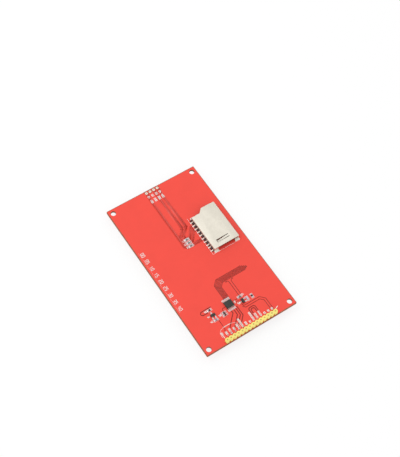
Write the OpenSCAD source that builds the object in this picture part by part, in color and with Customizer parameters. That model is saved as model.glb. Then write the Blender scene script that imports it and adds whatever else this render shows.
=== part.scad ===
// TFT display module: a colour liquid-crystal panel with a touch screen, taped to the
// front of a carrier board. The screen lies face down on z = 0 and the component side
// of the board is up. +X points to the card socket's mouth, +Y away from the header.

/* [View area] */
// Width of the picture
view_w = 55.68; // [50:0.01:56]
// Length of the picture
view_l = 83.52; // [76:0.01:85]
// Panel border beside the picture
side_border = 1.76; // [1.7:0.01:2.1]
// Panel border at the far end of the picture
far_border = 2.6; // [2.2:0.05:4]
// Panel border at the driver end of the picture
driver_border = 8.9; // [8:0.05:9.6]

/* [Circuit board] */
// Width of board that shows beside the panel
side_strip = 1.27; // [0.8:0.01:6]
// Length of board at the header end of the panel
header_strip = 6.52; // [6:0.01:12]
// Length of board at the far end of the panel
far_strip = 6.5; // [6:0.1:12]
// Thickness of the board
board_t = 1.6; // [0.8:0.1:2.4]
// Radius of the board's corners
board_corner_r = 0.4; // [0.2:0.1:1.2]
// Diameter of the four mounting holes
mount_hole_d = 3.2; // [2.2:0.1:3.4]
// Distance of a mounting hole's centre from both edges
mount_hole_inset = 3; // [2.6:0.1:3.4]

/* [Pin header] */
// Number of pins in the row
header_pins = 14; // [6:1:16]
// Distance between pins
pin_pitch = 2.54; // [2:0.01:2.6]
// Width of a square pin
pin_size = 0.64; // [0.5:0.01:0.7]
// Length of pin that stands out of the housing
pin_tip = 0.3; // [0.2:0.1:6]
// Length of pin below the board
pin_tail = 1.3; // [1:0.1:2]
// Clearance between a pin's corners and its hole
pin_hole_clearance = 0.05; // [0.03:0.01:0.1]
// Depth of the housing across the row
housing_w = 2.5; // [2.2:0.05:2.6]
// Height of the housing
housing_h = 2.5; // [1.5:0.1:3]
// Size of the notches between the cells of the housing
housing_notch = 0.65; // [0.3:0.05:0.7]
// Height of the groove under the housing
groove_h = 0.25; // [0.1:0.05:0.4]
// Width of the groove under the housing
groove_w = 1.1; // [0.8:0.1:1.4]
// Distance of the pin row from the near edge of the board
row_inset = 1.52; // [1.4:0.01:2]
// Height of a solder joint under the board
solder_h = 0.7; // [0.4:0.05:0.9]

/* [Card socket] */
// Width of the memory card
card_w = 24; // [23.6:0.1:25]
// Thickness of the memory card
card_t = 2.1; // [1.8:0.1:2.4]
// Cut corner of the memory card
card_corner = 4; // [3.4:0.1:4.2]
// Clearance round the card
card_clearance = 0.1; // [0.05:0.01:0.2]
// Length of the socket from its rear to its mouth
socket_l = 17.3; // [16:0.1:20]
// Length of the solid block behind the card
socket_stop = 4; // [3.6:0.1:5]
// Width of the rails beside the card
rail_w = 1.3; // [1.2:0.05:2]
// Depth of the recess in each rail between the shell's legs
rail_recess = 0.6; // [0.3:0.05:0.7]
// Thickness of the socket's floor
floor_t = 0.5; // [0.4:0.05:0.8]
// Thickness of the stamped shell
shell_t = 0.2; // [0.15:0.01:0.25]
// Flare of the rails at the socket's mouth
mouth_flare = 0.6; // [0.3:0.05:0.8]
// Wall left between the card's cut corner and the shell
corner_wall = 0.9; // [0.7:0.05:1.2]
// Set-back of the narrow rear of the socket
socket_step = 2.5; // [1.8:0.1:2.8]
// Distance of the socket's mouth from the right edge of the board
socket_edge_gap = 4.45; // [3:0.05:6]
// Distance of the socket's middle from the middle of the board
socket_y = 12; // [-6:0.1:30]
// Length of a leg of the shell along the board
leg_l = 2.8; // [2:0.1:3.6]
// Length of a leg's foot on the board
foot_l = 1.1; // [0.8:0.1:1.6]
// Length of the window in a leg at the mouth
leg_window_l = 1.8; // [1:0.1:2.2]
// Height of the window in a leg at the mouth
leg_window_h = 1.2; // [0.6:0.1:1.4]
// Height of the lip that turns down behind the socket
rear_lip = 1.6; // [1:0.1:1.7]
// Length of the teeth between the feet of the contacts
comb_l = 1.2; // [0.8:0.1:1.4]
// Height of the teeth between the feet of the contacts
comb_h = 0.7; // [0.5:0.05:0.9]
// Length of the spring finger in the shell
finger_l = 8; // [5:0.1:9]
// Distance of the finger's tip from the block behind the card
finger_gap = 0.4; // [0.3:0.05:1]
// Width of the spring finger
finger_w = 1.2; // [1:0.1:1.6]
// Drop of the finger's tip below the shell
finger_drop = 0.9; // [0.4:0.05:1]
// Width of the slits beside the finger
slit_w = 0.4; // [0.2:0.05:0.5]

/* [Card contacts] */
// Distance of the contact at the cut corner from the socket's middle
first_contact = 9.4; // [9:0.05:9.6]
// Distance between card contacts
contact_pitch = 2.5; // [2.3:0.01:2.55]
// Distance from the seventh to the eighth data contact
last_contact_pitch = 1.8; // [1.6:0.05:2]
// Width of a card contact
contact_w = 0.7; // [0.6:0.05:1]
// Thickness of a card contact
contact_t = 0.15; // [0.1:0.01:0.2]
// Length of a contact's foot outside the socket
contact_foot = 1.6; // [1.4:0.1:2]
// Length of a contact's spring arm
contact_arm = 6; // [5:0.1:7]
// Height of a contact's bump over the socket's floor
contact_rise = 0.9; // [0.5:0.05:0.95]
// Clearance round a contact's arm
well_clearance = 0.25; // [0.15:0.05:0.3]
// Length of the switch contact inside the socket
switch_l = 2.4; // [1:0.1:3]

/* [Chips] */
// Length of the touch controller's body
controller_l = 5; // [4.8:0.1:6]
// Width of the touch controller's body
controller_w = 4.4; // [3.8:0.1:4.6]
// Height of the touch controller's body
controller_h = 1; // [0.8:0.05:1.2]
// Leads on each side of the touch controller
leads_per_side = 8; // [4:1:8]
// Distance between the touch controller's leads
lead_pitch = 0.65; // [0.5:0.01:0.65]
// Width of a touch controller lead
lead_w = 0.25; // [0.18:0.01:0.3]
// Thickness of a lead
lead_t = 0.15; // [0.1:0.01:0.2]
// Length that a lead reaches out of its body
lead_reach = 1; // [0.8:0.05:1.2]
// Gap under the moulded bodies
body_standoff = 0.1; // [0.05:0.01:0.15]
// Slope of the moulded bodies' sides
body_draft = 0.12; // [0.05:0.01:0.2]
// Length of a three-lead body
sot_l = 2.9; // [2.6:0.1:3.1]
// Width of a three-lead body
sot_w = 1.6; // [1.2:0.05:1.7]
// Height of a three-lead body
sot_h = 0.95; // [0.8:0.05:1.1]
// Distance of the outer leads of a three-lead body from its middle
sot_lead_offset = 0.95; // [0.8:0.05:1]
// Width of a lead of a three-lead body
sot_lead_w = 0.42; // [0.3:0.01:0.5]
// Length of a chip resistor or capacitor
chip_l = 1.8; // [1.4:0.05:1.8]
// Width of a chip resistor or capacitor
chip_w = 0.9; // [0.7:0.05:0.95]
// Height of a chip resistor
resistor_h = 0.45; // [0.35:0.05:0.6]
// Height of a chip capacitor
capacitor_h = 0.75; // [0.6:0.05:0.9]
// Length of each metal end of a chip
chip_end_l = 0.32; // [0.2:0.02:0.4]
// Amount that the metal ends stand proud of a chip's body
chip_end_proud = 0.03; // [0.01:0.01:0.05]

/* [Chip places] */
// Distance of the touch controller from the middle of the board
controller_x = -3; // [-4:0.1:-2]
// Distance of the touch controller from the pin row
controller_up = 18.3; // [16:0.1:24]
// Distance of the regulator from the middle of the board
regulator_x = -14.5; // [-22:0.1:-13.5]
// Distance of the regulator from the pin row
regulator_up = 17.4; // [14:0.1:24]
// Distance of the transistor from the middle of the board
transistor_x = 5; // [4:0.1:8]
// Distance of the transistor from the pin row
transistor_up = 15.8; // [14:0.1:24]
// Distance of the resistor above the regulator
above_gap = 3.7; // [3:0.1:5]
// Distance of the resistor below the regulator
below_gap = 3.3; // [2.7:0.1:5]
// Distance of each chip beside the transistor from the one before
beside_gap = 3.2; // [2.6:0.1:5]
// Distance of the capacitors from the middle of the touch controller, sideways
capacitor_gap = 5.4; // [4:0.1:6]
// Distance of the first capacitor from the middle of the touch controller, down the board
capacitor_drop = 2.9; // [1:0.1:4]
// Distance between the two capacitors
capacitor_pitch = 1.4; // [1.1:0.05:2]
// Distance of the series resistors from the rear of the card socket
series_gap = 9.7; // [6:0.1:12]
// Distance between the series resistors
series_pitch = 2.3; // [1.4:0.1:3]
// Distance of the middle series resistor below the middle of the card socket
series_drop = 1; // [0:0.1:8]

/* [Touch screen] */
// Thickness of the flexible touch film
film_t = 0.18; // [0.1:0.01:0.3]
// Thickness of the adhesive spacer between film and glass
spacer_t = 0.08; // [0.05:0.01:0.12]
// Thickness of the touch glass
touch_glass_t = 0.7; // [0.5:0.05:1.1]
// Thickness of the adhesive frame behind the touch glass
adhesive_t = 0.2; // [0.1:0.05:0.5]
// Set-back of the touch screen from the panel's edges
touch_inset = 0.2; // [0.1:0.05:0.4]
// Gap between the picture and the adhesive frames
view_clearance = 0.3; // [0.2:0.05:0.4]
// Width of the touch screen's flex
touch_flex_w = 5; // [3:0.1:6]
// Gap between the touch screen's flex and the panel's flex
flex_gap = 1.9; // [1:0.1:3]
// Length of the touch flex bonded inside the touch screen
touch_flex_bond = 3; // [2:0.1:4]
// Length of the touch flex on the front of the board
touch_flex_return = 5; // [3:0.1:8]

/* [Liquid-crystal cell] */
// Thickness of each polariser
polariser_t = 0.13; // [0.1:0.01:0.2]
// Thickness of each sheet of cell glass
cell_glass_t = 0.4; // [0.3:0.05:0.7]
// Set-back of the polarisers from the edges of the glass
polariser_inset = 0.3; // [0.1:0.05:0.4]
// Length of the glass ledge that carries the driver chip
ledge_l = 4.5; // [4:0.1:5]
// Length of the driver chip
driver_l = 22; // [14:0.5:30]
// Width of the driver chip
driver_w = 1; // [0.8:0.1:1.4]
// Thickness of the driver chip
driver_t = 0.3; // [0.2:0.01:0.3]
// Distance of the driver chip from the edge of the glass
driver_inset = 2.2; // [2:0.1:2.5]
// Width of the panel's flex
flex_w = 28; // [20:0.5:29]
// Width of the panel's flex at its solder end
flex_tail_w = 22; // [14:0.5:28]
// Thickness of the panel's flex
flex_t = 0.1; // [0.08:0.01:0.12]
// Clearance beside the panel's flex where it passes the frame
flex_clearance = 0.3; // [0.1:0.05:0.5]
// Length of the panel's flex bonded to the glass
flex_bond = 1.6; // [1.2:0.1:1.8]
// Length of the panel's flex on the front of the board
flex_return = 14; // [8:0.5:24]

/* [Backlight] */
// Thickness of the frame's outer wall
frame_wall = 0.8; // [0.7:0.05:0.9]
// Clearance between the cell and the frame
cell_clearance = 0.1; // [0.05:0.01:0.15]
// Width of the ledge that the cell sits on
seat_w = 0.5; // [0.3:0.05:0.55]
// Clearance round the films and the light guide
guide_clearance = 0.1; // [0.05:0.01:0.12]
// Thickness of the black rim tape
rim_t = 0.05; // [0.03:0.01:0.1]
// Thickness of the prism film
prism_t = 0.13; // [0.1:0.01:0.2]
// Thickness of the diffuser film
diffuser_t = 0.1; // [0.05:0.01:0.2]
// Thickness of the light guide
guide_t = 0.6; // [0.4:0.05:1]
// Thickness of the reflector sheet
reflector_t = 0.08; // [0.05:0.01:0.15]
// Set-back of the reflector sheet from the frame's edges
reflector_inset = 0.4; // [0.2:0.05:0.6]
// Number of light-emitting diodes
led_count = 8; // [4:1:10]
// Length of a light-emitting diode
led_l = 3; // [2:0.1:3.8]
// Depth of a light-emitting diode
led_d = 1; // [0.6:0.1:1.2]
// Thickness of the diode strip
led_strip_t = 0.1; // [0.05:0.01:0.12]
// Thickness of the foam tape between panel and board
foam_t = 0.5; // [0.3:0.05:1]
// Width of the foam tape
foam_w = 6; // [3:0.5:7]
// Set-back of the foam tape from the panel's edges
foam_inset = 1; // [0.5:0.1:1.5]

/* [Hidden] */
$fn = 48;

// outlines of the panel and of the board that it is taped to, with y = 0 mid-board
panel_w = view_w + 2 * side_border;
panel_l = view_l + far_border + driver_border;
board_w = panel_w + 2 * side_strip;
board_l = panel_l + header_strip + far_strip;
panel_y1 = board_l / 2 - far_strip;
view_y1 = panel_y1 - far_border;
view_y0 = view_y1 - view_l;
panel_y0 = view_y0 - driver_border;

// heights of the layers, from the face of the screen up to the board
spacer_z = film_t;
touch_glass_z = spacer_z + spacer_t;
adhesive_z = touch_glass_z + touch_glass_t;
front_z = adhesive_z + adhesive_t;
filter_z = front_z + polariser_t;
array_z = filter_z + cell_glass_t;
rear_z = array_z + cell_glass_t;
rim_z = rear_z + polariser_t;
prism_z = rim_z + rim_t;
diffuser_z = prism_z + prism_t;
guide_z = diffuser_z + diffuser_t;
reflector_z = guide_z + guide_t;
back_z = reflector_z + reflector_t;
board_z = back_z + foam_t;
top_z = board_z + board_t;

// outlines inside the panel
touch_w = panel_w - 2 * touch_inset;
touch_y0 = panel_y0 + touch_inset;
touch_y1 = panel_y1 - touch_inset;
pocket_w = panel_w - 2 * frame_wall;
pocket_y0 = panel_y0 + frame_wall;
pocket_y1 = panel_y1 - frame_wall;
cell_w = pocket_w - 2 * cell_clearance;
cell_y0 = pocket_y0 + cell_clearance;
cell_y1 = pocket_y1 - cell_clearance;
filter_y0 = cell_y0 + ledge_l;
guide_pocket_w = pocket_w - 2 * seat_w;
guide_pocket_y0 = pocket_y0 + seat_w;
guide_pocket_y1 = pocket_y1 - seat_w;
guide_w = guide_pocket_w - 2 * guide_clearance;
led_y0 = guide_pocket_y0 + guide_clearance;
guide_y0 = led_y0 + led_d + guide_clearance;
guide_y1 = guide_pocket_y1 - guide_clearance;

touch_flex_x = flex_w / 2 + flex_gap + touch_flex_w / 2;
foam_y0 = panel_y0 + touch_flex_return + foam_inset;

// header
row_y = row_inset - board_l / 2;
row_l = header_pins * pin_pitch;
pin_hole_d = pin_size * sqrt(2) + 2 * pin_hole_clearance;
solder_r = 1.4 * pin_size;

// card socket, in its own frame: x = 0 at the rear, y = 0 in the middle, z = 0 on the board
channel_w = card_w + 2 * card_clearance;
base_w = channel_w + 2 * rail_w;
socket_w = base_w + 2 * shell_t;
socket_h = floor_t + card_t + card_clearance + shell_t;
shell_z = socket_h - shell_t;
socket_x = board_w / 2 - socket_edge_gap - socket_l;

// the slanted corner of the socket lies on y = x + corner_line, and ends at corner_x
corner_line = channel_w / 2 - card_corner - socket_stop + corner_wall * sqrt(2);
corner_x = socket_w / 2 - corner_line;
contact_ys = [for (i = [0:8])
    first_contact - min(i, 7) * contact_pitch - max(i - 7, 0) * last_contact_pitch];
switch_y = -channel_w / 2 - contact_w / 2;
finger_tip_x = socket_stop + finger_gap;
finger_x = finger_tip_x + finger_l;
finger_y = contact_ys[8];
leg_bend = 1.2 * shell_t;

// places of the chips: [x, y, turn]
controller_place = [controller_x, row_y + controller_up, 0];
regulator_place = [regulator_x, row_y + regulator_up, 0];
transistor_place = [transistor_x, row_y + transistor_up, 90];
resistor_places = concat(
    [for (i = [1, 0, -1])
        [socket_x - series_gap, socket_y - series_drop + i * series_pitch, 0]],
    [[regulator_x, row_y + regulator_up + above_gap, 0],
     [regulator_x, row_y + regulator_up - below_gap, 0],
     [transistor_x + 2 * beside_gap, row_y + transistor_up, 90]]);
capacitor_places = concat(
    [for (i = [0, 1])
        [controller_x - capacitor_gap,
         row_y + controller_up - capacitor_drop - i * capacitor_pitch, 0]],
    [[transistor_x, row_y + transistor_up + beside_gap, 0],
     [transistor_x + beside_gap, row_y + transistor_up, 90]]);

function two_digits(i) = str(i < 10 ? "0" : "", i);
pin_names = [for (i = [1:header_pins]) str("header_pin_", two_digits(i))];
resistor_names = [for (i = [1:len(resistor_places)]) str("resistor_", i)];
capacitor_names = [for (i = [1:len(capacitor_places)]) str("capacitor_", i)];

// ---------- shared shapes ----------

// direction of a vector, and the vector turned a quarter to the left
function unit(v) = v / norm(v);
function left_of(v) = [-v[1], v[0]];

// one side of a bent strip: the path moved over by d, mitred at its corners
function strip_side(path, d) =
    let (last = len(path) - 1)
    [for (i = [0:last])
        let (a = left_of(unit(path[max(i, 1)] - path[max(i, 1) - 1])),
             b = left_of(unit(path[min(i, last - 1) + 1] - path[min(i, last - 1)])))
        path[i] + d * (a + b) / (1 + a * b)];

// closed outline of a strip of thickness t along a path
function strip_outline(path, t) =
    let (back = strip_side(path, -t / 2))
    concat(strip_side(path, t / 2), [for (i = [len(back) - 1:-1:0]) back[i]]);

// a strip bent in the XZ plane, w wide along Y
module bent_strip(path, t, w) {
    translate([0, w / 2, 0])
        rotate([90, 0, 0])
            linear_extrude(w)
                polygon(strip_outline(path, t));
}

// rectangle with round corners, from x -w/2 to w/2 and from y0 to y1
module round_rect(w, y0, y1, r) {
    translate([-w / 2 + r, y0]) square([w - 2 * r, y1 - y0]);
    translate([-w / 2, y0 + r]) square([w, y1 - y0 - 2 * r]);
    for (x = [-w / 2 + r, w / 2 - r], y = [y0 + r, y1 - r])
        translate([x, y]) circle(r);
}

// flat sheet between two heights
module sheet(w, y0, y1, z, t) {
    translate([-w / 2, y0, z]) cube([w, y1 - y0, t]);
}

// flat frame round the picture
module window_frame(w, y0, y1, z, t) {
    translate([0, 0, z])
        linear_extrude(t)
            difference() {
                translate([-w / 2, y0]) square([w, y1 - y0]);
                translate([-view_w / 2 - view_clearance, view_y0 - view_clearance])
                    square([view_w + 2 * view_clearance, view_l + 2 * view_clearance]);
            }
}

// moulded body: sides that lean in above and below a flat band at the leads
module moulded_body(l, w, h) {
    band_z = body_standoff + h / 2;
    module side_profile(width) {
        wide = width / 2;
        narrow = wide - body_draft;
        right = [[narrow, body_standoff], [wide, band_z - lead_t / 2],
                 [wide, band_z + lead_t / 2], [narrow, body_standoff + h]];
        polygon(concat(right, [for (i = [3:-1:0]) [-right[i][0], right[i][1]]]));
    }
    intersection() {
        translate([0, w / 2, 0]) rotate([90, 0, 0]) linear_extrude(w) side_profile(l);
        translate([-l / 2, 0, 0]) rotate([90, 0, 90]) linear_extrude(l) side_profile(w);
    }
}

// gull-wing lead that leaves a body's side at y = 0 towards +Y
module gull_lead(body_h, w) {
    exit_z = body_standoff + body_h / 2;
    path = [[0, exit_z], [lead_reach * 0.28, exit_z], [lead_reach * 0.5, lead_t / 2],
            [lead_reach, lead_t / 2]];
    rotate([0, 0, 90]) bent_strip(path, lead_t, w);
}

// moves a part of a chip to its place on the board
module placed(place) {
    translate([place[0], place[1], top_z]) rotate([0, 0, place[2]]) children();
}

// ---------- circuit board ----------

module circuit_board() {
    color([0.93, 0.30, 0.26])
        difference() {
            translate([0, 0, board_z])
                linear_extrude(board_t)
                    round_rect(board_w, -board_l / 2, board_l / 2, board_corner_r);
            for (x = [-1, 1], y = [-1, 1])
                translate([x * (board_w / 2 - mount_hole_inset),
                           y * (board_l / 2 - mount_hole_inset), board_z - 1])
                    cylinder(d = mount_hole_d, h = board_t + 2);
            for (i = [1:header_pins])
                translate([pin_x(i), row_y, board_z - 1])
                    cylinder(d = pin_hole_d, h = board_t + 2, $fn = 24);
            for (i = [0:3])
                translate([(i - 1.5) * pin_pitch, board_l / 2 - row_inset, board_z - 1])
                    cylinder(d = pin_hole_d, h = board_t + 2, $fn = 24);
        }
}

// ---------- pin header ----------

function pin_x(i) = (i - (header_pins + 1) / 2) * pin_pitch;

// one cell of the housing: a block with its four upright edges cut off
module housing_cell() {
    a = pin_pitch / 2;
    b = housing_w / 2;
    n = housing_notch;
    polygon([[a - n, -b], [a, n - b], [a, b - n], [a - n, b],
             [n - a, b], [-a, b - n], [-a, n - b], [n - a, -b]]);
}

module header_housing() {
    color([0.96, 0.88, 0.35])
        translate([0, row_y, top_z])
            difference() {
                linear_extrude(housing_h)
                    difference() {
                        union() {
                            for (i = [1:header_pins])
                                translate([pin_x(i), 0]) housing_cell();
                            square([row_l - pin_pitch, housing_w - 2 * housing_notch],
                                   center = true);
                        }
                        for (i = [1:header_pins])
                            translate([pin_x(i), 0]) square(pin_size, center = true);
                    }
                // groove that keeps the housing clear of the solder's rise round the pins
                cube([row_l + 2, groove_w, 2 * groove_h], center = true);
            }
}

// square pin with its ends cut to a blunt point
module header_pin(i) {
    low = board_z - pin_tail;
    high = top_z + housing_h + pin_tip;
    half = pin_size / 2;
    point = pin_size / 4;
    outline = [[-point, low], [point, low], [half, low + point], [half, high - point],
               [point, high], [-point, high], [-half, high - point], [-half, low + point]];
    color([0.86, 0.84, 0.70])
        translate([pin_x(i), row_y, 0])
            intersection() {
                translate([0, half, 0]) rotate([90, 0, 0]) linear_extrude(pin_size) polygon(outline);
                translate([-half, 0, 0]) rotate([90, 0, 90]) linear_extrude(pin_size) polygon(outline);
            }
}

// cone of solder round each pin under the board
module header_solder() {
    color([0.78, 0.79, 0.80])
        for (i = [1:header_pins])
            translate([pin_x(i), row_y, board_z - solder_h])
                difference() {
                    cylinder(r1 = pin_size * 0.8, r2 = solder_r, h = solder_h, $fn = 24);
                    translate([0, 0, solder_h / 2])
                        cube([pin_size, pin_size, solder_h + 1], center = true);
                }
}

// ---------- card socket ----------

module in_socket() {
    translate([socket_x, socket_y, top_z]) children();
}

// plan of the socket for a given width, narrower at the rear as the card's cut corner is
module socket_plan(width) {
    half = width / 2;
    rear_half = half - socket_step;
    polygon([[0, -half], [socket_l, -half], [socket_l, half], [half - corner_line, half],
             [rear_half - corner_line, rear_half], [0, rear_half]]);
}

// space that the card slides into, with the rails flared at the mouth
module card_channel() {
    half = channel_w / 2;
    flare_x = socket_l - mouth_flare;
    translate([0, 0, floor_t])
        linear_extrude(socket_h)
            polygon([[socket_stop, -half], [flare_x, -half], [socket_l + 1, -half - mouth_flare - 1],
                     [socket_l + 1, half + mouth_flare + 1], [flare_x, half],
                     [socket_stop + card_corner, half], [socket_stop, half - card_corner]]);
}

// slot for a contact, from the rear of the socket to x
module contact_slot(y, x) {
    translate([-1, y - contact_w / 2, floor_t]) cube([x + 1, contact_w, contact_t]);
}

// well through the floor in which a contact's arm bends, cut into the corner block too
module contact_well(y) {
    w = contact_w + 2 * well_clearance;
    translate([socket_stop - well_clearance, y - w / 2, -1])
        cube([contact_arm + 2 * well_clearance, w, 1 + floor_t + contact_rise + 2 * contact_t]);
}

// recess in the outer face of a rail, from x up to the leg at the mouth
module rail_gap(x) {
    translate([x, -base_w / 2 - 1, -1])
        cube([socket_l - leg_l - x, rail_recess + 1, shell_z + 2]);
}

// bevel on the base's top edge, inside the bend of a leg
module leg_bevel() {
    translate([-1, 0, 0])
        rotate([90, 0, 90])
            linear_extrude(leg_l + 2)
                polygon([[base_w / 2 - leg_bend, shell_z], [base_w / 2 + 1, shell_z + 1],
                         [base_w / 2 + 1, shell_z - leg_bend - 1]]);
}

// ledge behind the socket, parted into teeth between the feet of the contacts
module rear_comb() {
    difference() {
        translate([-comb_l, -base_w / 2, 0]) cube([comb_l + 1, base_w - socket_step, comb_h]);
        for (y = concat(contact_ys, [switch_y]))
            translate([-comb_l - 1, y - contact_w / 2 - well_clearance, -1])
                cube([comb_l + 1, contact_w + 2 * well_clearance, comb_h + 2]);
    }
}

// room for the shell's lip behind the socket
module lip_rebate() {
    translate([-1, -base_w, socket_h - rear_lip]) cube([1 + shell_t, 2 * base_w, rear_lip]);
}

module socket_base() {
    color([0.12, 0.12, 0.13])
        in_socket()
            difference() {
                union() {
                    linear_extrude(shell_z) socket_plan(base_w);
                    rear_comb();
                }
                card_channel();
                lip_rebate();
                rail_gap(leg_l);
                mirror([0, 1, 0]) rail_gap(corner_x + rail_recess);
                for (y = contact_ys) {
                    contact_slot(y, socket_stop);
                    contact_well(y);
                }
                contact_slot(switch_y, switch_l);
                at_legs() leg_bevel();
            }
}

// leg of the shell on the +Y side: from the top plate down, and out along the board
module shell_leg() {
    low = shell_t / 2;
    high = socket_h - shell_t / 2;
    wall = (socket_w - shell_t) / 2;
    ease = 0.3 * leg_bend;
    path = [[wall - 3 * leg_bend, high], [wall - leg_bend, high], [wall - ease, high - ease],
            [wall, high - leg_bend], [wall, low + leg_bend], [wall + ease, low + ease],
            [wall + leg_bend, low], [wall + foot_l, low]];
    rotate([0, 0, 90]) translate([0, -leg_l / 2, 0]) bent_strip(path, shell_t, leg_l);
}

// edge of the top plate that rolls over into a leg
module leg_relief() {
    translate([0, socket_w / 2 - 2 * leg_bend, 0]) cube([leg_l, 3 * leg_bend, socket_h + 1]);
}

// the four places of a leg: two on the near side, one at the mouth, one at the narrow rear
module at_legs() {
    for (x = [0, socket_l - leg_l])
        translate([x, 0, 0]) mirror([0, 1, 0]) children();
    translate([socket_l - leg_l, 0, 0]) children();
    translate([0, -socket_step, 0]) children();
}

// window through the upright part of a leg
module leg_window() {
    translate([(leg_l - leg_window_l) / 2, base_w / 2 - 1, shell_z - 2 * leg_bend - leg_window_h])
        cube([leg_window_l, shell_t + 2, leg_window_h]);
}

// lip that turns down over the rear of the base, between the two rear legs
module rear_wall() {
    side = 2 * leg_bend;
    translate([0, side - socket_w / 2, socket_h - rear_lip])
        cube([shell_t, socket_w - socket_step - 2 * side, rear_lip]);
}

// spring finger, bent down towards its free end
module spring_finger() {
    mid = shell_z + shell_t / 2;
    path = [[finger_x + shell_t, mid], [finger_x - 1, mid],
            [finger_tip_x + 0.8, mid - finger_drop], [finger_tip_x, mid - 0.7 * finger_drop]];
    translate([0, finger_y, 0]) bent_strip(path, shell_t, finger_w);
}

module socket_shell() {
    color([0.88, 0.87, 0.82])
        in_socket() {
            difference() {
                translate([0, 0, shell_z]) linear_extrude(shell_t) socket_plan(socket_w);
                translate([finger_tip_x - slit_w, finger_y - finger_w / 2 - slit_w, 0])
                    cube([finger_l + slit_w, finger_w + 2 * slit_w, socket_h + 1]);
                at_legs() leg_relief();
            }
            rear_wall();
            spring_finger();
            difference() {
                at_legs() shell_leg();
                for (side = [0, 1])
                    mirror([0, side, 0]) translate([socket_l - leg_l, 0, 0]) leg_window();
            }
        }
}

// contact: foot on the board, step up into the rear block, arm with a rounded bump
module card_contact(y, arm) {
    mid = floor_t + contact_t / 2;
    bump = floor_t + contact_rise;
    reach = socket_stop + contact_arm;
    foot = [[-contact_foot, contact_t / 2], [-0.55, contact_t / 2], [-0.2, mid]];
    spring = arm ? [[socket_stop, mid], [reach - 1.4, bump - 0.1], [reach - 0.9, bump],
                    [reach - 0.5, bump - 0.1], [reach, bump - 0.5]]
                 : [[switch_l, mid]];
    translate([0, y, 0]) bent_strip(concat(foot, spring), contact_t, contact_w);
}

module card_contacts() {
    color([0.80, 0.76, 0.60])
        in_socket()
            for (y = contact_ys) card_contact(y, true);
}

module switch_contact() {
    color([0.80, 0.76, 0.60])
        in_socket() card_contact(switch_y, false);
}

// ---------- chips ----------

module controller_body() {
    color([0.10, 0.11, 0.11])
        placed(controller_place)
            difference() {
                moulded_body(controller_l, controller_w, controller_h);
                translate([0.8 - controller_l / 2, 0.8 - controller_w / 2,
                           body_standoff + controller_h - 0.08])
                    cylinder(d = 0.6, h = 1, $fn = 24);
            }
}

module controller_leads() {
    color([0.80, 0.81, 0.80])
        placed(controller_place)
            for (i = [1:leads_per_side], side = [0, 180])
                rotate([0, 0, side])
                    translate([(i - (leads_per_side + 1) / 2) * lead_pitch, controller_w / 2, 0])
                        gull_lead(controller_h, lead_w);
}

module three_lead_body(place) {
    color([0.10, 0.10, 0.11])
        placed(place) moulded_body(sot_l, sot_w, sot_h);
}

module three_leads(place) {
    color([0.80, 0.81, 0.80])
        placed(place) {
            translate([0, sot_w / 2, 0]) gull_lead(sot_h, sot_lead_w);
            for (x = [-sot_lead_offset, sot_lead_offset])
                translate([x, -sot_w / 2, 0]) mirror([0, 1, 0]) gull_lead(sot_h, sot_lead_w);
        }
}

module regulator_body() three_lead_body(regulator_place);
module regulator_leads() three_leads(regulator_place);
module transistor_body() three_lead_body(transistor_place);
module transistor_leads() three_leads(transistor_place);

// ceramic body of a chip between its metal ends
module chip_body(place, h) {
    placed(place)
        translate([chip_end_l - chip_l / 2, -chip_w / 2, chip_end_proud])
            cube([chip_l - 2 * chip_end_l, chip_w, h]);
}

module resistor(i) {
    color([0.16, 0.16, 0.17]) chip_body(resistor_places[i - 1], resistor_h);
}

module capacitor(i) {
    color([0.72, 0.62, 0.50]) chip_body(capacitor_places[i - 1], capacitor_h);
}

module chip_end_pair(place, h) {
    placed(place)
        for (side = [0, 180])
            rotate([0, 0, side])
                translate([chip_l / 2 - chip_end_l, -chip_w / 2 - chip_end_proud, 0])
                    cube([chip_end_l, chip_w + 2 * chip_end_proud, h + 2 * chip_end_proud]);
}

module chip_ends() {
    color([0.84, 0.84, 0.82]) {
        for (place = resistor_places) chip_end_pair(place, resistor_h);
        for (place = capacitor_places) chip_end_pair(place, capacitor_h);
    }
}

// ---------- touch screen ----------

module touch_film() {
    color([0.16, 0.17, 0.19])
        linear_extrude(film_t) round_rect(touch_w, touch_y0, touch_y1, 0.5);
}

module touch_spacer() {
    color([0.20, 0.20, 0.22])
        difference() {
            window_frame(touch_w, touch_y0, touch_y1, spacer_z, spacer_t);
            translate([touch_flex_x - touch_flex_w / 2, touch_y0 - 1, 0])
                cube([touch_flex_w, touch_flex_bond + 1, back_z]);
        }
}

module touch_glass() {
    color([0.70, 0.80, 0.78])
        sheet(touch_w, touch_y0, touch_y1, touch_glass_z, touch_glass_t);
}

module touch_adhesive() {
    color([0.15, 0.15, 0.16])
        window_frame(touch_w, touch_y0, touch_y1, adhesive_z, adhesive_t);
}

// flex that leaves the panel at height z, turns back round its end and ends on the board
module flex_loop(x, w, t, z, bond_y, return_y, tail_w) {
    outer_r = (board_z - z) / 2;
    taper_y = (panel_y0 + return_y) / 2;
    translate([x, 0, 0]) {
        translate([-w / 2, panel_y0, z]) cube([w, bond_y - panel_y0, t]);
        translate([0, panel_y0, z + outer_r])
            mirror([0, 1, 0])
                rotate([0, 90, 0])
                    rotate_extrude(angle = 180)
                        translate([outer_r - t, -w / 2]) square([t, w]);
        translate([0, 0, board_z - t])
            linear_extrude(t)
                polygon([[-w / 2, panel_y0], [w / 2, panel_y0], [tail_w / 2, taper_y],
                         [tail_w / 2, return_y], [-tail_w / 2, return_y], [-tail_w / 2, taper_y]]);
    }
}

module touch_flex() {
    color([0.85, 0.55, 0.15])
        flex_loop(touch_flex_x, touch_flex_w, spacer_t, spacer_z, touch_y0 + touch_flex_bond,
                  panel_y0 + touch_flex_return, touch_flex_w);
}

// ---------- liquid-crystal cell ----------

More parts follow.
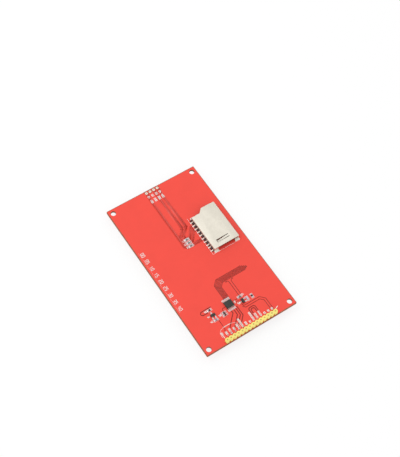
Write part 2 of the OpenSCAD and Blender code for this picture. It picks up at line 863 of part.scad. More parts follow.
module front_polariser() {
    color([0.12, 0.12, 0.14])
        sheet(cell_w - 2 * polariser_inset, filter_y0 + polariser_inset, cell_y1 - polariser_inset,
              front_z, polariser_t);
}

module colour_filter_glass() {
    color([0.55, 0.66, 0.66]) sheet(cell_w, filter_y0, cell_y1, filter_z, cell_glass_t);
}

module array_glass() {
    color([0.60, 0.70, 0.68]) sheet(cell_w, cell_y0, cell_y1, array_z, cell_glass_t);
}

module rear_polariser() {
    color([0.14, 0.14, 0.16])
        sheet(cell_w - 2 * polariser_inset, cell_y0 + polariser_inset, cell_y1 - polariser_inset,
              rear_z, polariser_t);
}

module driver_chip() {
    color([0.35, 0.36, 0.38])
        translate([-driver_l / 2, cell_y0 + driver_inset, array_z - driver_t])
            cube([driver_l, driver_w, driver_t]);
}

module panel_flex() {
    color([0.80, 0.45, 0.12])
        flex_loop(0, flex_w, flex_t, array_z - flex_t, cell_y0 + flex_bond,
                  panel_y0 + flex_return, flex_tail_w);
}

// ---------- backlight ----------

module rim_tape() {
    color([0.08, 0.08, 0.08])
        window_frame(cell_w, cell_y0, cell_y1, rim_z, rim_t);
}

module prism_film() {
    color([0.90, 0.92, 0.94]) sheet(guide_w, guide_y0, guide_y1, prism_z, prism_t);
}

module diffuser_film() {
    color([0.95, 0.95, 0.95]) sheet(guide_w, guide_y0, guide_y1, diffuser_z, diffuser_t);
}

module light_guide() {
    color([0.85, 0.90, 0.92]) sheet(guide_w, guide_y0, guide_y1, guide_z, guide_t);
}

module led_strip() {
    color([0.90, 0.80, 0.55]) sheet(guide_w, led_y0, led_y0 + led_d, guide_z - led_strip_t, led_strip_t);
}

module backlight_leds() {
    color([0.98, 0.95, 0.70])
        for (i = [1:led_count])
            translate([(i - (led_count + 1) / 2) * guide_w / led_count - led_l / 2, led_y0, guide_z])
                cube([led_l, led_d, guide_t]);
}

module reflector_sheet() {
    color([0.97, 0.97, 0.97])
        sheet(panel_w - 2 * reflector_inset, panel_y0 + reflector_inset, panel_y1 - reflector_inset,
              reflector_z, reflector_t);
}

module backlight_frame() {
    color([0.94, 0.94, 0.92])
        difference() {
            translate([0, 0, front_z])
                linear_extrude(reflector_z - front_z)
                    round_rect(panel_w, panel_y0, panel_y1, 0.6);
            sheet(pocket_w, pocket_y0, pocket_y1, front_z - 1, prism_z - front_z + 1);
            sheet(guide_pocket_w, guide_pocket_y0, guide_pocket_y1, front_z, reflector_z);
            // gap in the end wall for the panel's flex
            sheet(flex_w + 2 * flex_clearance, panel_y0 - 1, pocket_y0 + 1, front_z - 1,
                  array_z - front_z + 1);
        }
}

// strips of double-sided foam along the sides and across the far end
module foam_tape() {
    color([0.25, 0.25, 0.27]) {
        for (side = [-1, 1])
            translate([side * (panel_w / 2 - foam_inset - foam_w / 2) - foam_w / 2,
                       foam_y0, back_z])
                cube([foam_w, panel_y1 - foam_inset - foam_y0, foam_t]);
        sheet(panel_w - 2 * foam_inset - 2 * foam_w - 1, panel_y1 - foam_inset - foam_w,
              panel_y1 - foam_inset, back_z, foam_t);
    }
}

circuit_board();
header_housing();
header_solder();
for (i = [1:header_pins])
    header_pin(i);
socket_base();
socket_shell();
card_contacts();
switch_contact();
controller_body();
controller_leads();
regulator_body();
regulator_leads();
transistor_body();
transistor_leads();
chip_ends();
for (i = [1:len(resistor_places)])
    resistor(i);
for (i = [1:len(capacitor_places)])
    capacitor(i);
touch_film();
touch_spacer();
touch_glass();
touch_adhesive();
touch_flex();
front_polariser();
colour_filter_glass();
array_glass();
rear_polariser();
driver_chip();
panel_flex();
rim_tape();
prism_film();
diffuser_film();
light_guide();
led_strip();
backlight_leds();
reflector_sheet();
backlight_frame();
foam_tape();
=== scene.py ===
"""Looks of a display module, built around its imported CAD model.

The module lies face down: the red carrier board with its card socket, chips and pin header
is on top, and the screen is below it. The mesh work is in metres. Routes, marks and pads on
the board are written in millimetres from the middle of the board, with +X towards the
mouth of the card socket and +Y away from the pin header.
"""

import logging
import math
from dataclasses import dataclass, field
from enum import Enum
from functools import lru_cache
from typing import Any, Iterable, Sequence, Union

import bmesh
import bpy
from mathutils import Matrix, Vector


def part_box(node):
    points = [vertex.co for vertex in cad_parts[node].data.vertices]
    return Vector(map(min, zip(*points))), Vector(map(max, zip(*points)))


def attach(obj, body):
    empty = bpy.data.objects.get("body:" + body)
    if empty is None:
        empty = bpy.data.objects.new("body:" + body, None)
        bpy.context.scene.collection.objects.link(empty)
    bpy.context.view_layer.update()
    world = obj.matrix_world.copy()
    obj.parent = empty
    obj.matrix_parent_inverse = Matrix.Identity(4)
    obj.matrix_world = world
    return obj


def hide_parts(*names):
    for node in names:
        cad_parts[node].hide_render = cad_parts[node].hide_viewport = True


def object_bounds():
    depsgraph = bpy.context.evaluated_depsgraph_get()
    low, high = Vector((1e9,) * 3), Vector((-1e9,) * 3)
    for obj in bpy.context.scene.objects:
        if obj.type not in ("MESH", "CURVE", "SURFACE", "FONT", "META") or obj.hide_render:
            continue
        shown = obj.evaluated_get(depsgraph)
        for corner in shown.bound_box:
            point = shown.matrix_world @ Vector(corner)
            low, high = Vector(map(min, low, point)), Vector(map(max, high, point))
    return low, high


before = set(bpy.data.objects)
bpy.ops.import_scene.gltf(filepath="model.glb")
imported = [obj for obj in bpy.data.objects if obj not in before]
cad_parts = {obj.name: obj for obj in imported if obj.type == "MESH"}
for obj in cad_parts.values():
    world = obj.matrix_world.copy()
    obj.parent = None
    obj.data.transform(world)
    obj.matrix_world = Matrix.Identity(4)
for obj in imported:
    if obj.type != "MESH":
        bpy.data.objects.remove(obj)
CAD_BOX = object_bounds()

MM = 0.001
BODY = "root"
# distances between leads and between contacts, in millimetres
LEAD_PITCH = 0.65
SMALL_LEAD_OFFSET = 0.95
CONTACT_PITCH = 2.5
LAST_CONTACT_PITCH = 1.8
# angles past which an edge is rounded, or stays sharp
ROUNDED_FROM = math.radians(32)
PIECE_SHARP = math.radians(38)
FORM_SHARP = math.radians(40)
LOG = logging.getLogger("display_module")

Point = tuple[float, float]
Route = Sequence[Point]
Colour = tuple[float, float, float]
Number = Union["Value", float]


def linear(red: int, green: int, blue: int) -> Colour:
    """Turns a display colour into a linear one.

    Args:
        red: Red from 0 to 255.
        green: Green from 0 to 255.
        blue: Blue from 0 to 255.

    Returns:
        The colour's linear red, green and blue.
    """
    levels = (level / 255 for level in (red, green, blue))
    return tuple(x / 12.92 if x <= 0.04045 else ((x + 0.055) / 1.055) ** 2.4 for x in levels)


def scaled(colour: Colour, factor: float) -> Colour:
    """Returns a colour made factor times as bright."""
    return tuple(factor * part for part in colour)


# ---------------------------------------------------------------- node trees


class Graph:
    """A node tree that is written from Python."""

    def __init__(self, tree: bpy.types.NodeTree) -> None:
        """Keeps the tree and empties it."""
        self.tree = tree
        self.tree.nodes.clear()

    def node(self, kind: str, settings: dict[str, Any] | None = None,
             sockets: dict[Any, Any] | None = None) -> bpy.types.Node:
        """Adds a node.

        Args:
            kind: The node's type.
            settings: Its own settings, set before its sockets. "stops" are a ramp's stops.
            sockets: Values or links of its inputs, by name or index.

        Returns:
            The new node.
        """
        made = self.tree.nodes.new(kind)
        for key, setting in (settings or {}).items():
            if key == "stops":
                self._fill_ramp(made.color_ramp, setting)
            else:
                setattr(made, key, setting)
        for key, content in (sockets or {}).items():
            self.connect(content, made.inputs[key])
        return made

    def connect(self, content: Any, target: bpy.types.NodeSocket) -> None:
        """Links a value or a socket to an input, or writes a plain value into it.

        Args:
            content: A Value, an output socket, a number, a vector or a colour.
            target: The input that receives it.
        """
        if isinstance(content, Value):
            content = content.socket
        if isinstance(content, bpy.types.NodeSocket):
            self.tree.links.new(content, target)
        elif target.type == "RGBA" and len(content) == 3:
            target.default_value = (*content, 1)
        else:
            target.default_value = content

    @staticmethod
    def _fill_ramp(ramp: bpy.types.ColorRamp, stops: Sequence[tuple[float, Any]]) -> None:
        """Gives a ramp its stops, each a position and a grey level or a colour."""
        while len(ramp.elements) < len(stops):
            ramp.elements.new(0.5)
        for element, (place, level) in zip(ramp.elements, stops):
            shade = (level,) * 3 if isinstance(level, (int, float)) else level
            element.position = place
            element.color = (*shade, 1)


class Value:
    """A number in a shader that takes part in Python sums."""

    def __init__(self, graph: Graph, socket: bpy.types.NodeSocket) -> None:
        """Keeps the socket that carries the number, and its graph."""
        self.graph = graph
        self.socket = socket

    def math(self, operation: str, *numbers: Number) -> "Value":
        """Adds a Math node.

        Args:
            operation: The Math node's operation.
            numbers: What it works on, in order.

        Returns:
            The result.
        """
        sockets = dict(enumerate(numbers))
        return Value(self.graph, self.graph.node(
            "ShaderNodeMath", {"operation": operation}, sockets).outputs[0])

    def __add__(self, other: Number) -> "Value":
        """Returns self + other."""
        return self.math("ADD", self, other)

    def __radd__(self, other: Number) -> "Value":
        """Returns other + self."""
        return self.math("ADD", other, self)

    def __sub__(self, other: Number) -> "Value":
        """Returns self - other."""
        return self.math("SUBTRACT", self, other)

    def __rsub__(self, other: Number) -> "Value":
        """Returns other - self."""
        return self.math("SUBTRACT", other, self)

    def __mul__(self, other: Number) -> "Value":
        """Returns self * other."""
        return self.math("MULTIPLY", self, other)

    def __rmul__(self, other: Number) -> "Value":
        """Returns other * self."""
        return self.math("MULTIPLY", other, self)

    def __truediv__(self, other: Number) -> "Value":
        """Returns self / other."""
        return self.math("DIVIDE", self, other)

    def __gt__(self, other: Number) -> "Value":
        """Returns 1 where self is above other, and 0 elsewhere."""
        return self.math("GREATER_THAN", self, other)

    def __lt__(self, other: Number) -> "Value":
        """Returns 1 where self is below other, and 0 elsewhere."""
        return self.math("LESS_THAN", self, other)

    def __abs__(self) -> "Value":
        """Returns the size of self without its sign."""
        return self.math("ABSOLUTE", self)

    def between(self, low: float, high: float) -> "Value":
        """Maps low..high to 0..1, without going past either.

        Args:
            low: What becomes 0.
            high: What becomes 1.

        Returns:
            The mapped value.
        """
        made = self.graph.node("ShaderNodeMapRange", {"clamp": True},
                               {"Value": self, "From Min": low, "From Max": high})
        return Value(self.graph, made.outputs[0])

    def repeated(self, step: float) -> "Value":
        """Returns a triangle wave of self: 0 at each multiple of step, 1 half-way between."""
        return 2 * abs(self.math("WRAP", self, step / 2, -step / 2)) / step


class Shader(Graph):
    """A material under construction, read in Object coordinates."""

    def __init__(self, name: str) -> None:
        """Starts an empty material."""
        self.material = bpy.data.materials.new(name)
        self.material.use_nodes = True
        super().__init__(self.material.node_tree)
        self.point = self.node("ShaderNodeTexCoord").outputs["Object"]

    def axes(self) -> tuple[Value, Value, Value]:
        """Returns the X, Y and Z of the shaded point, in metres."""
        parts = self.node("ShaderNodeSeparateXYZ", None, {0: self.point})
        return tuple(Value(self, socket) for socket in parts.outputs)

    def noise(self, size: float, detail: float = 2.0,
              stretch: Colour = (1.0, 1.0, 1.0)) -> Value:
        """Adds a noise pattern.

        Args:
            size: Size of its spots, in metres.
            detail: Number of finer layers.
            stretch: How much longer the spots are along X, Y and Z.

        Returns:
            The noise, from 0 to 1.
        """
        scale = tuple(1 / share for share in stretch)
        place = self.node("ShaderNodeMapping", None, {"Vector": self.point, "Scale": scale})
        made = self.node("ShaderNodeTexNoise", None,
                         {"Vector": place.outputs[0], "Scale": 1 / size, "Detail": detail})
        return Value(self, made.outputs[0])

    def mix(self, share: Number, first: Any, second: Any) -> bpy.types.NodeSocket:
        """Blends two colours.

        Args:
            share: 0 gives the first colour, 1 the second.
            first: A colour or a colour socket.
            second: A colour or a colour socket.

        Returns:
            The blended colour's socket.
        """
        made = self.node("ShaderNodeMix", {"data_type": "RGBA"}, {0: share, 6: first, 7: second})
        return made.outputs[2]

    def varied(self, share: Number, colour: Colour, factor: float) -> bpy.types.NodeSocket:
        """Blends a colour with factor times itself.

        Args:
            share: 0 gives the colour itself, 1 the changed one.
            colour: The colour.
            factor: How bright the changed colour is, as a share of the first.

        Returns:
            The blended colour's socket.
        """
        return self.mix(share, colour, scaled(colour, factor))

    def bump(self, height: Value, depth: float) -> bpy.types.NodeSocket:
        """Returns a normal that follows a height from 0 to 1, depth metres deep."""
        return self.node("ShaderNodeBump", None, {"Height": height, "Distance": depth}).outputs[0]

    def finish(self, sockets: dict[str, Any]) -> bpy.types.Material:
        """Ends the material in a Principled shader.

        Args:
            sockets: Values or links of the shader's inputs.

        Returns:
            The finished material.
        """
        shader = self.node("ShaderNodeBsdfPrincipled", None, sockets)
        self.node("ShaderNodeOutputMaterial", None, {"Surface": shader.outputs[0]})
        return self.material


# ---------------------------------------------------------------- finishes


class Finish:
    """A surface finish of the module."""

    name: str

    def build(self) -> bpy.types.Material:
        """Makes the finish's material."""
        raise NotImplementedError


@lru_cache(maxsize=None)
def material_of(finish: Finish) -> bpy.types.Material:
    """Returns a finish's material, which is built only once."""
    return finish.build()


@dataclass(frozen=True)
class BoardFinish(Finish):
    """Glass-epoxy board: solder mask on both faces, and laminate along the cut edges.

    Args:
        name: Name of the material.
        top: Height of the component face.
        bottom: Height of the front face.
        mask: Colour of the solder mask.
        laminate: Colour of the cut laminate.
        half: Half of the board's width and length.
        rim: Width of bare laminate round the mask.
        weave: Distance between the threads of the glass cloth.
    """

    name: str
    top: float
    bottom: float
    half: Point
    mask: Colour = linear(242, 73, 59)
    laminate: Colour = linear(168, 96, 62)
    rim: float = 0.3 * MM
    weave: float = 0.5 * MM

    def build(self) -> bpy.types.Material:
        """Makes the board's material."""
        shader = Shader(self.name)
        x, y, z = shader.axes()
        bare = (abs(x) - self.half[0]).math("MAXIMUM", abs(x) - self.half[0],
                                            abs(y) - self.half[1]) > -self.rim
        side = (z < self.top - 0.02 * MM) * (z > self.bottom + 0.02 * MM)
        cut = bare.math("MAXIMUM", bare, side)
        cloud = shader.noise(9 * MM, 3)
        fine = shader.noise(0.3 * MM, 2)
        mask = shader.varied(cloud.between(0.3, 0.7), self.mask, 0.955)
        threads = shader.noise(0.16 * MM, 2, (9, 9, 1))
        laminate = shader.mix(threads.between(0.35, 0.65), scaled(self.laminate, 0.55),
                              self.laminate)
        cloth = (x.repeated(self.weave) + y.repeated(self.weave)) * 0.5
        height = cloth * 0.4 + fine * 0.3 + threads * cut * 2
        return shader.finish({
            "Base Color": shader.mix(cut, mask, laminate),
            "Roughness": 0.36 + 0.08 * cloud + 0.3 * cut,
            "Normal": shader.bump(height, 0.004 * MM),
            "Specular IOR Level": 0.4,
        })


@dataclass(frozen=True)
class MaskedCopper(Finish):
    """Copper under solder mask: darker than the mask on bare laminate.

    Args:
        name: Name of the material.
        colour: Colour of the mask over copper.
    """

    name: str = "masked_copper"
    colour: Colour = linear(140, 34, 24)

    def build(self) -> bpy.types.Material:
        """Makes the tracks' material."""
        shader = Shader(self.name)
        cloud = shader.noise(1.6 * MM, 3)
        return shader.finish({
            "Base Color": shader.varied(cloud.between(0.35, 0.7), self.colour, 1.15),
            "Roughness": 0.28 + 0.1 * cloud,
            "Normal": shader.bump(shader.noise(0.12 * MM), 0.003 * MM),
            "Specular IOR Level": 0.4,
        })


@dataclass(frozen=True)
class Metal(Finish):
    """A metal surface.

    Args:
        name: Name of the material.
        colour: Colour of its reflection.
        roughness: Mean roughness.
        grain: Size of its grain.
        depth: Depth of its grain.
        brushed: How much longer the grain is along Y than along X.
        stain: How dark its dull spots are, from 0 to 1.
    """

    name: str
    colour: Colour
    roughness: float = 0.3
    grain: float = 0.2 * MM
    depth: float = 0.004 * MM
    brushed: float = 1.0
    stain: float = 0.15

    def build(self) -> bpy.types.Material:
        """Makes the metal's material."""
        shader = Shader(self.name)
        grain = shader.noise(self.grain, 3, (1, self.brushed, 1))
        cloud = shader.noise(2.2 * MM, 2)
        return shader.finish({
            "Base Color": shader.varied(cloud.between(0.35, 0.75), self.colour, 1 - self.stain),
            "Metallic": 1.0,
            "Roughness": self.roughness - 0.08 + 0.12 * grain + 0.08 * cloud,
            "Normal": shader.bump(grain, self.depth),
        })


@dataclass(frozen=True)
class Moulded(Finish):
    """A moulded, cast or fired surface with a fine grain.

    Args:
        name: Name of the material.
        colour: Main colour.
        roughness: Mean roughness.
        grain: Size of its grain.
        depth: Depth of its grain.
        fade: How much the colour varies, from 0 to 1.
    """

    name: str
    colour: Colour
    roughness: float = 0.5
    grain: float = 0.08 * MM
    depth: float = 0.004 * MM
    fade: float = 0.12

    def build(self) -> bpy.types.Material:
        """Makes the plastic's material."""
        shader = Shader(self.name)
        grain = shader.noise(self.grain, 2)
        cloud = shader.noise(3 * MM, 3)
        worn = scaled(self.colour, 1 - self.fade)
        speckled = shader.mix(cloud.between(0.3, 0.75), self.colour, worn)
        return shader.finish({
            "Base Color": shader.mix(0.25 * grain.between(0.5, 0.8), speckled, worn),
            "Roughness": self.roughness - 0.05 + 0.1 * grain,
            "Normal": shader.bump(grain, self.depth),
        })


@dataclass(frozen=True)
class Clear(Finish):
    """Glass or clear plastic seen at its edge: pale inside, with a tinted rim.

    Args:
        name: Name of the material.
        colour: Colour of the sheet.
        tint: Colour of the streaks in its edge.
        roughness: Mean roughness.
    """

    name: str
    colour: Colour
    tint: Colour
    roughness: float = 0.08

    def build(self) -> bpy.types.Material:
        """Makes the sheet's material."""
        shader = Shader(self.name)
        streaks = shader.noise(0.5 * MM, 3, (8, 8, 0.4))
        return shader.finish({
            "Base Color": shader.mix(streaks.between(0.35, 0.65), self.colour, self.tint),
            "Roughness": self.roughness + 0.1 * streaks,
            "Normal": shader.bump(streaks, 0.002 * MM),
            "Coat Weight": 0.6,
            "Coat Roughness": 0.04,
        })


@dataclass(frozen=True)
class ScreenFace(Finish):
    """Front of the touch film: a dark picture area inside a black printed border.

    Args:
        name: Name of the material.
        middle: Middle of the picture.
        half: Half of the picture's width and length.
        dot_pitch: Distance between the spacer dots behind the film.
    """

    name: str
    middle: Point
    half: Point
    dot_pitch: float = 2.5 * MM
    border: Colour = linear(16, 17, 19)
    picture: Colour = linear(44, 48, 56)
    silver: Colour = linear(150, 150, 146)

    def build(self) -> bpy.types.Material:
        """Makes the film's material."""
        shader = Shader(self.name)
        x, y, _ = shader.axes()
        across = abs(x - self.middle[0]) - self.half[0]
        along = abs(y - self.middle[1]) - self.half[1]
        outside = across.math("MAXIMUM", across, along)
        is_border = outside.between(0, 0.05 * MM)
        dot_x = x.repeated(self.dot_pitch).between(0.94, 0.97)
        dot_y = y.repeated(self.dot_pitch).between(0.94, 0.97)
        cloud = shader.noise(14 * MM, 2)
        picture = shader.varied(cloud.between(0.3, 0.7), self.picture, 0.75)
        picture = shader.mix(0.35 * dot_x * dot_y, picture, self.silver)
        trace = abs(outside - 0.9 * MM).between(0.22 * MM, 0.18 * MM)
        base = shader.mix(is_border, picture, self.border)
        return shader.finish({
            "Base Color": shader.mix(0.7 * trace * is_border, base, self.silver),
            "Roughness": 0.16 + 0.05 * cloud,
            "Normal": shader.bump(shader.noise(0.2 * MM), 0.001 * MM),
            "Coat Weight": 0.5,
            "Coat Roughness": 0.08,
        })


@dataclass(frozen=True)
class FlexFinish(Finish):
    """Flexible circuit: amber film with copper lines that run along Y.

    Args:
        name: Name of the material.
        pitch: Distance between the lines.
        film: Colour of the film.
        copper: Colour of the film over copper.
    """

    name: str
    pitch: float
    film: Colour = linear(196, 120, 40)
    copper: Colour = linear(150, 78, 30)

    def build(self) -> bpy.types.Material:
        """Makes the flex's material."""
        shader = Shader(self.name)
        x, _, _ = shader.axes()
        line = x.repeated(self.pitch).between(0.45, 0.6)
        cloud = shader.noise(1.5 * MM, 3)
        film = shader.varied(cloud.between(0.3, 0.7), self.film, 0.86)
        return shader.finish({
            "Base Color": shader.mix(line, film, self.copper),
            "Roughness": 0.3 + 0.1 * cloud,
            "Normal": shader.bump(line, 0.01 * MM),
            "Specular IOR Level": 0.6,
        })


@dataclass(frozen=True)
class Foam(Finish):
    """Closed-cell foam tape, with painted shade in the pits of its cells.

    Args:
        name: Name of the material.
        colour: Colour of the foam in the painted shade of its cell pits; the ridges are lighter.
        cell: Size of its cells.
    """

    name: str = "foam"
    colour: Colour = linear(40, 40, 43)
    cell: float = 0.14 * MM

    def build(self) -> bpy.types.Material:
        """Makes the foam's material."""
        shader = Shader(self.name)
        cells = shader.node("ShaderNodeTexVoronoi", None,
                            {"Vector": shader.point, "Scale": 1 / self.cell})
        depth = Value(shader, cells.outputs["Distance"])
        return shader.finish({
            # painted shade: the colour is darkest in each cell's pit, where the bump is lowest,
            # and up to 1.9 times as bright on the ridges
            "Base Color": shader.varied(depth.between(0.2, 0.8), self.colour, 1.9),
            "Roughness": 0.85 + 0.1 * depth,
            "Normal": shader.bump(depth, 0.03 * MM),
        })


TRACE = MaskedCopper()
BROAD_TRACE = MaskedCopper("broad_masked_copper", linear(199, 56, 44))
CLEARANCE = MaskedCopper("bare_gap_under_mask", linear(227, 68, 54))
RING = MaskedCopper("masked_ring", linear(150, 74, 50))
PLATING = Metal("hot_tinned_hole", linear(255, 243, 230), 0.5, 0.25 * MM, 0.004 * MM, 1.0, 0.04)
TINNED = Metal("tinned_copper", linear(226, 228, 226), 0.34, 0.25 * MM, 0.006 * MM)
SOLDER = Metal("solder", linear(214, 217, 218), 0.26, 0.3 * MM, 0.008 * MM)
LEAD = Metal("tinned_lead", linear(204, 200, 196), 0.34, 0.12 * MM, 0.003 * MM, 3.0)
PIN = Metal("gilt_pin", linear(206, 190, 128), 0.28, 0.15 * MM, 0.003 * MM, 1.0, 0.3)
CONTACT = Metal("card_contact_metal", linear(252, 238, 226), 0.4, 0.12 * MM, 0.003 * MM)
SHELL = Metal("stamped_steel", linear(226, 221, 209), 0.6, 0.1 * MM, 0.003 * MM, 14.0, 0.04)
HOUSING = Moulded("yellow_nylon", linear(251, 233, 126), 0.42)
SOCKET = Moulded("socket_plastic", linear(56, 22, 22), 0.5)
COMPOUND = Moulded("mould_compound", linear(42, 42, 38), 0.55, 0.05 * MM, 0.006 * MM, 0.2)
GLAZE = Moulded("resistor_glaze", linear(40, 34, 36), 0.25, 0.1 * MM, 0.002 * MM)
GREY_GLAZE = Moulded("grey_glaze", linear(118, 124, 120), 0.3, 0.1 * MM, 0.002 * MM)
ALUMINA = Moulded("capacitor_ceramic", linear(122, 106, 96), 0.55)
DARK_CERAMIC = Moulded("dark_ceramic", linear(74, 64, 60), 0.45)
PALE_CERAMIC = Moulded("pale_ceramic", linear(212, 192, 210), 0.5)
LILAC_GLAZE = Moulded("lilac_glaze", linear(148, 134, 150), 0.3, 0.1 * MM, 0.002 * MM)
INK = Moulded("white_ink", linear(252, 244, 240), 0.6, 0.06 * MM, 0.004 * MM, 0.05)
GLASS = Clear("sheet_glass", linear(150, 178, 172), linear(96, 140, 130))
GUIDE = Clear("light_guide_plastic", linear(216, 226, 230), linear(190, 206, 214), 0.12)
OPTICAL = Clear("optical_film", linear(226, 229, 232), linear(206, 210, 216), 0.25)
POLARISER = Clear("polariser_film", linear(30, 31, 36), linear(20, 21, 26), 0.15)
TAPE = Moulded("black_tape", linear(22, 22, 23), 0.55)
GUM = Moulded("adhesive_film", linear(52, 52, 55), 0.4)
WHITE_PLASTIC = Moulded("white_frame_plastic", linear(236, 236, 232), 0.45)
REFLECTOR = Moulded("reflector_film", linear(240, 241, 242), 0.3, 0.3 * MM, 0.002 * MM, 0.04)
SILICON = Metal("driver_silicon", linear(120, 124, 132), 0.18, 0.4 * MM, 0.001 * MM)
LED_BODY = Moulded("led_body", linear(246, 238, 190), 0.35)


# ---------------------------------------------------------------- the CAD frame


@dataclass(frozen=True)
class Box:
    """A node's box, in millimetres from the middle of the board.

    Args:
        low: Lowest corner.
        high: Highest corner.
    """

    low: Vector
    high: Vector

    @classmethod
    def of(cls, node: str) -> "Box":
        """Returns the box of a CAD node."""
        low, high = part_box(node)
        return cls(low / MM, high / MM)

    @property
    def middle(self) -> Vector:
        """Middle of the box."""
        return (self.low + self.high) / 2

    @property
    def size(self) -> Vector:
        """Width, length and height of the box."""
        return self.high - self.low


BOARD = Box.of("circuit_board")
TOP = BOARD.high.z
UNDER = BOARD.low.z


def finished(name: str, mesh: bpy.types.Mesh, replaced: Sequence[str] = ()
             ) -> bpy.types.Object:
    """Makes a mesh a piece of the module.

    Args:
        name: The piece's name.
        mesh: Its final mesh, in place and with its materials.
        replaced: CAD nodes that the piece stands for.

    Returns:
        The piece.
    """
    mesh.name = name
    piece = bpy.data.objects.new(name, mesh)
    bpy.context.scene.collection.objects.link(piece)
    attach(piece, BODY)
    if replaced:
        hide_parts(*replaced)
    LOG.info("%s: %d faces", name, len(mesh.polygons))
    return piece


def dress(finish: Finish, *nodes: str) -> None:
    """Gives carried-over CAD nodes a finish.

    Args:
        finish: The finish.
        nodes: Names of the nodes.
    """
    for name in nodes:
        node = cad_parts[name]
        if not node.material_slots:
            node.data.materials.append(None)
        for entry in node.material_slots:
            entry.material = material_of(finish)
        LOG.info("%s: %s", name, finish.name)


def softened(node: str, name: str, finish: Finish, radius: float
             ) -> bpy.types.Object:
    """Replaces a CAD node by a copy with rounded edges.

    Args:
        node: The CAD node.
        name: The new piece's name.
        finish: The piece's finish.
        radius: Radius of the edges, in millimetres.

    Returns:
        The new piece.
    """
    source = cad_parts[node]
    shape = bmesh.new()
    shape.from_mesh(source.data)
    bmesh.ops.remove_doubles(shape, verts=shape.verts, dist=1e-7)
    bmesh.ops.dissolve_limit(shape, angle_limit=math.radians(1), verts=shape.verts,
                             edges=shape.edges)
    copy = bpy.data.meshes.new(name)
    shape.to_mesh(copy)
    shape.free()
    stand_in = bpy.data.objects.new(name + "_source", copy)
    bpy.context.scene.collection.objects.link(stand_in)
    bevel = stand_in.modifiers.new("edges", "BEVEL")
    bevel.width = radius * MM
    bevel.segments = 2
    bevel.limit_method = "ANGLE"
    bevel.angle_limit = ROUNDED_FROM
    bevel.use_clamp_overlap = True
    mesh = evaluated_mesh(stand_in)
    mesh.materials.clear()
    mesh.materials.append(material_of(finish))
    mesh.shade_smooth()
    mesh.set_sharp_from_angle(angle=PIECE_SHARP)
    return finished(name, mesh, [node])


def evaluated_mesh(source: bpy.types.Object) -> bpy.types.Mesh:
    """Turns an object with its modifiers into a plain mesh, and removes the object."""
    bpy.context.view_layer.update()
    graph = bpy.context.evaluated_depsgraph_get()
    mesh = bpy.data.meshes.new_from_object(source.evaluated_get(graph), depsgraph=graph)
    bpy.data.objects.remove(source)
    return mesh


# ---------------------------------------------------------------- what repeats


class Growth(Graph):
    """A Geometry Nodes tree with named inputs, which grows plain meshes."""

    def __init__(self, name: str, inputs: dict[str, str]) -> None:
        """Starts a tree.

        Args:
            name: The tree's name.
            inputs: Its inputs besides Geometry and Material, each with its socket type.
        """
        super().__init__(bpy.data.node_groups.new(name, "GeometryNodeTree"))
        kinds = {"Geometry": "NodeSocketGeometry", **inputs, "Material": "NodeSocketMaterial"}
        self.sockets = {
            label: self.tree.interface.new_socket(label, in_out="INPUT", socket_type=kind)
            for label, kind in kinds.items()}
        self.tree.interface.new_socket("Geometry", in_out="OUTPUT",
                                       socket_type="NodeSocketGeometry")
        self.inlet = self.node("NodeGroupInput").outputs

    def close(self, geometry: bpy.types.NodeSocket) -> None:
        """Ends the tree: instances become real, and the mesh gets its material."""
        real = self.node("GeometryNodeRealizeInstances", None, {0: geometry})
        dressed = self.node("GeometryNodeSetMaterial", None,
                            {"Geometry": real.outputs[0], "Material": self.inlet["Material"]})
        self.node("NodeGroupOutput", None, {0: dressed.outputs[0]})

    def grow(self, source: bpy.types.Object, finish: Finish,
             sizes: dict[str, Any]) -> bpy.types.Mesh:
        """Runs the tree on an object.

        Args:
            source: The object that it starts from, which is used up.
            finish: The mesh's finish.
            sizes: The tree's own inputs, by name.

        Returns:
            The grown mesh.
        """
        modifier = source.modifiers.new(self.tree.name, "NODES")
        modifier.node_group = self.tree
        for label, content in {**sizes, "Material": material_of(finish)}.items():
            modifier[self.sockets[label].identifier] = content
        source.update_tag()
        return evaluated_mesh(source)


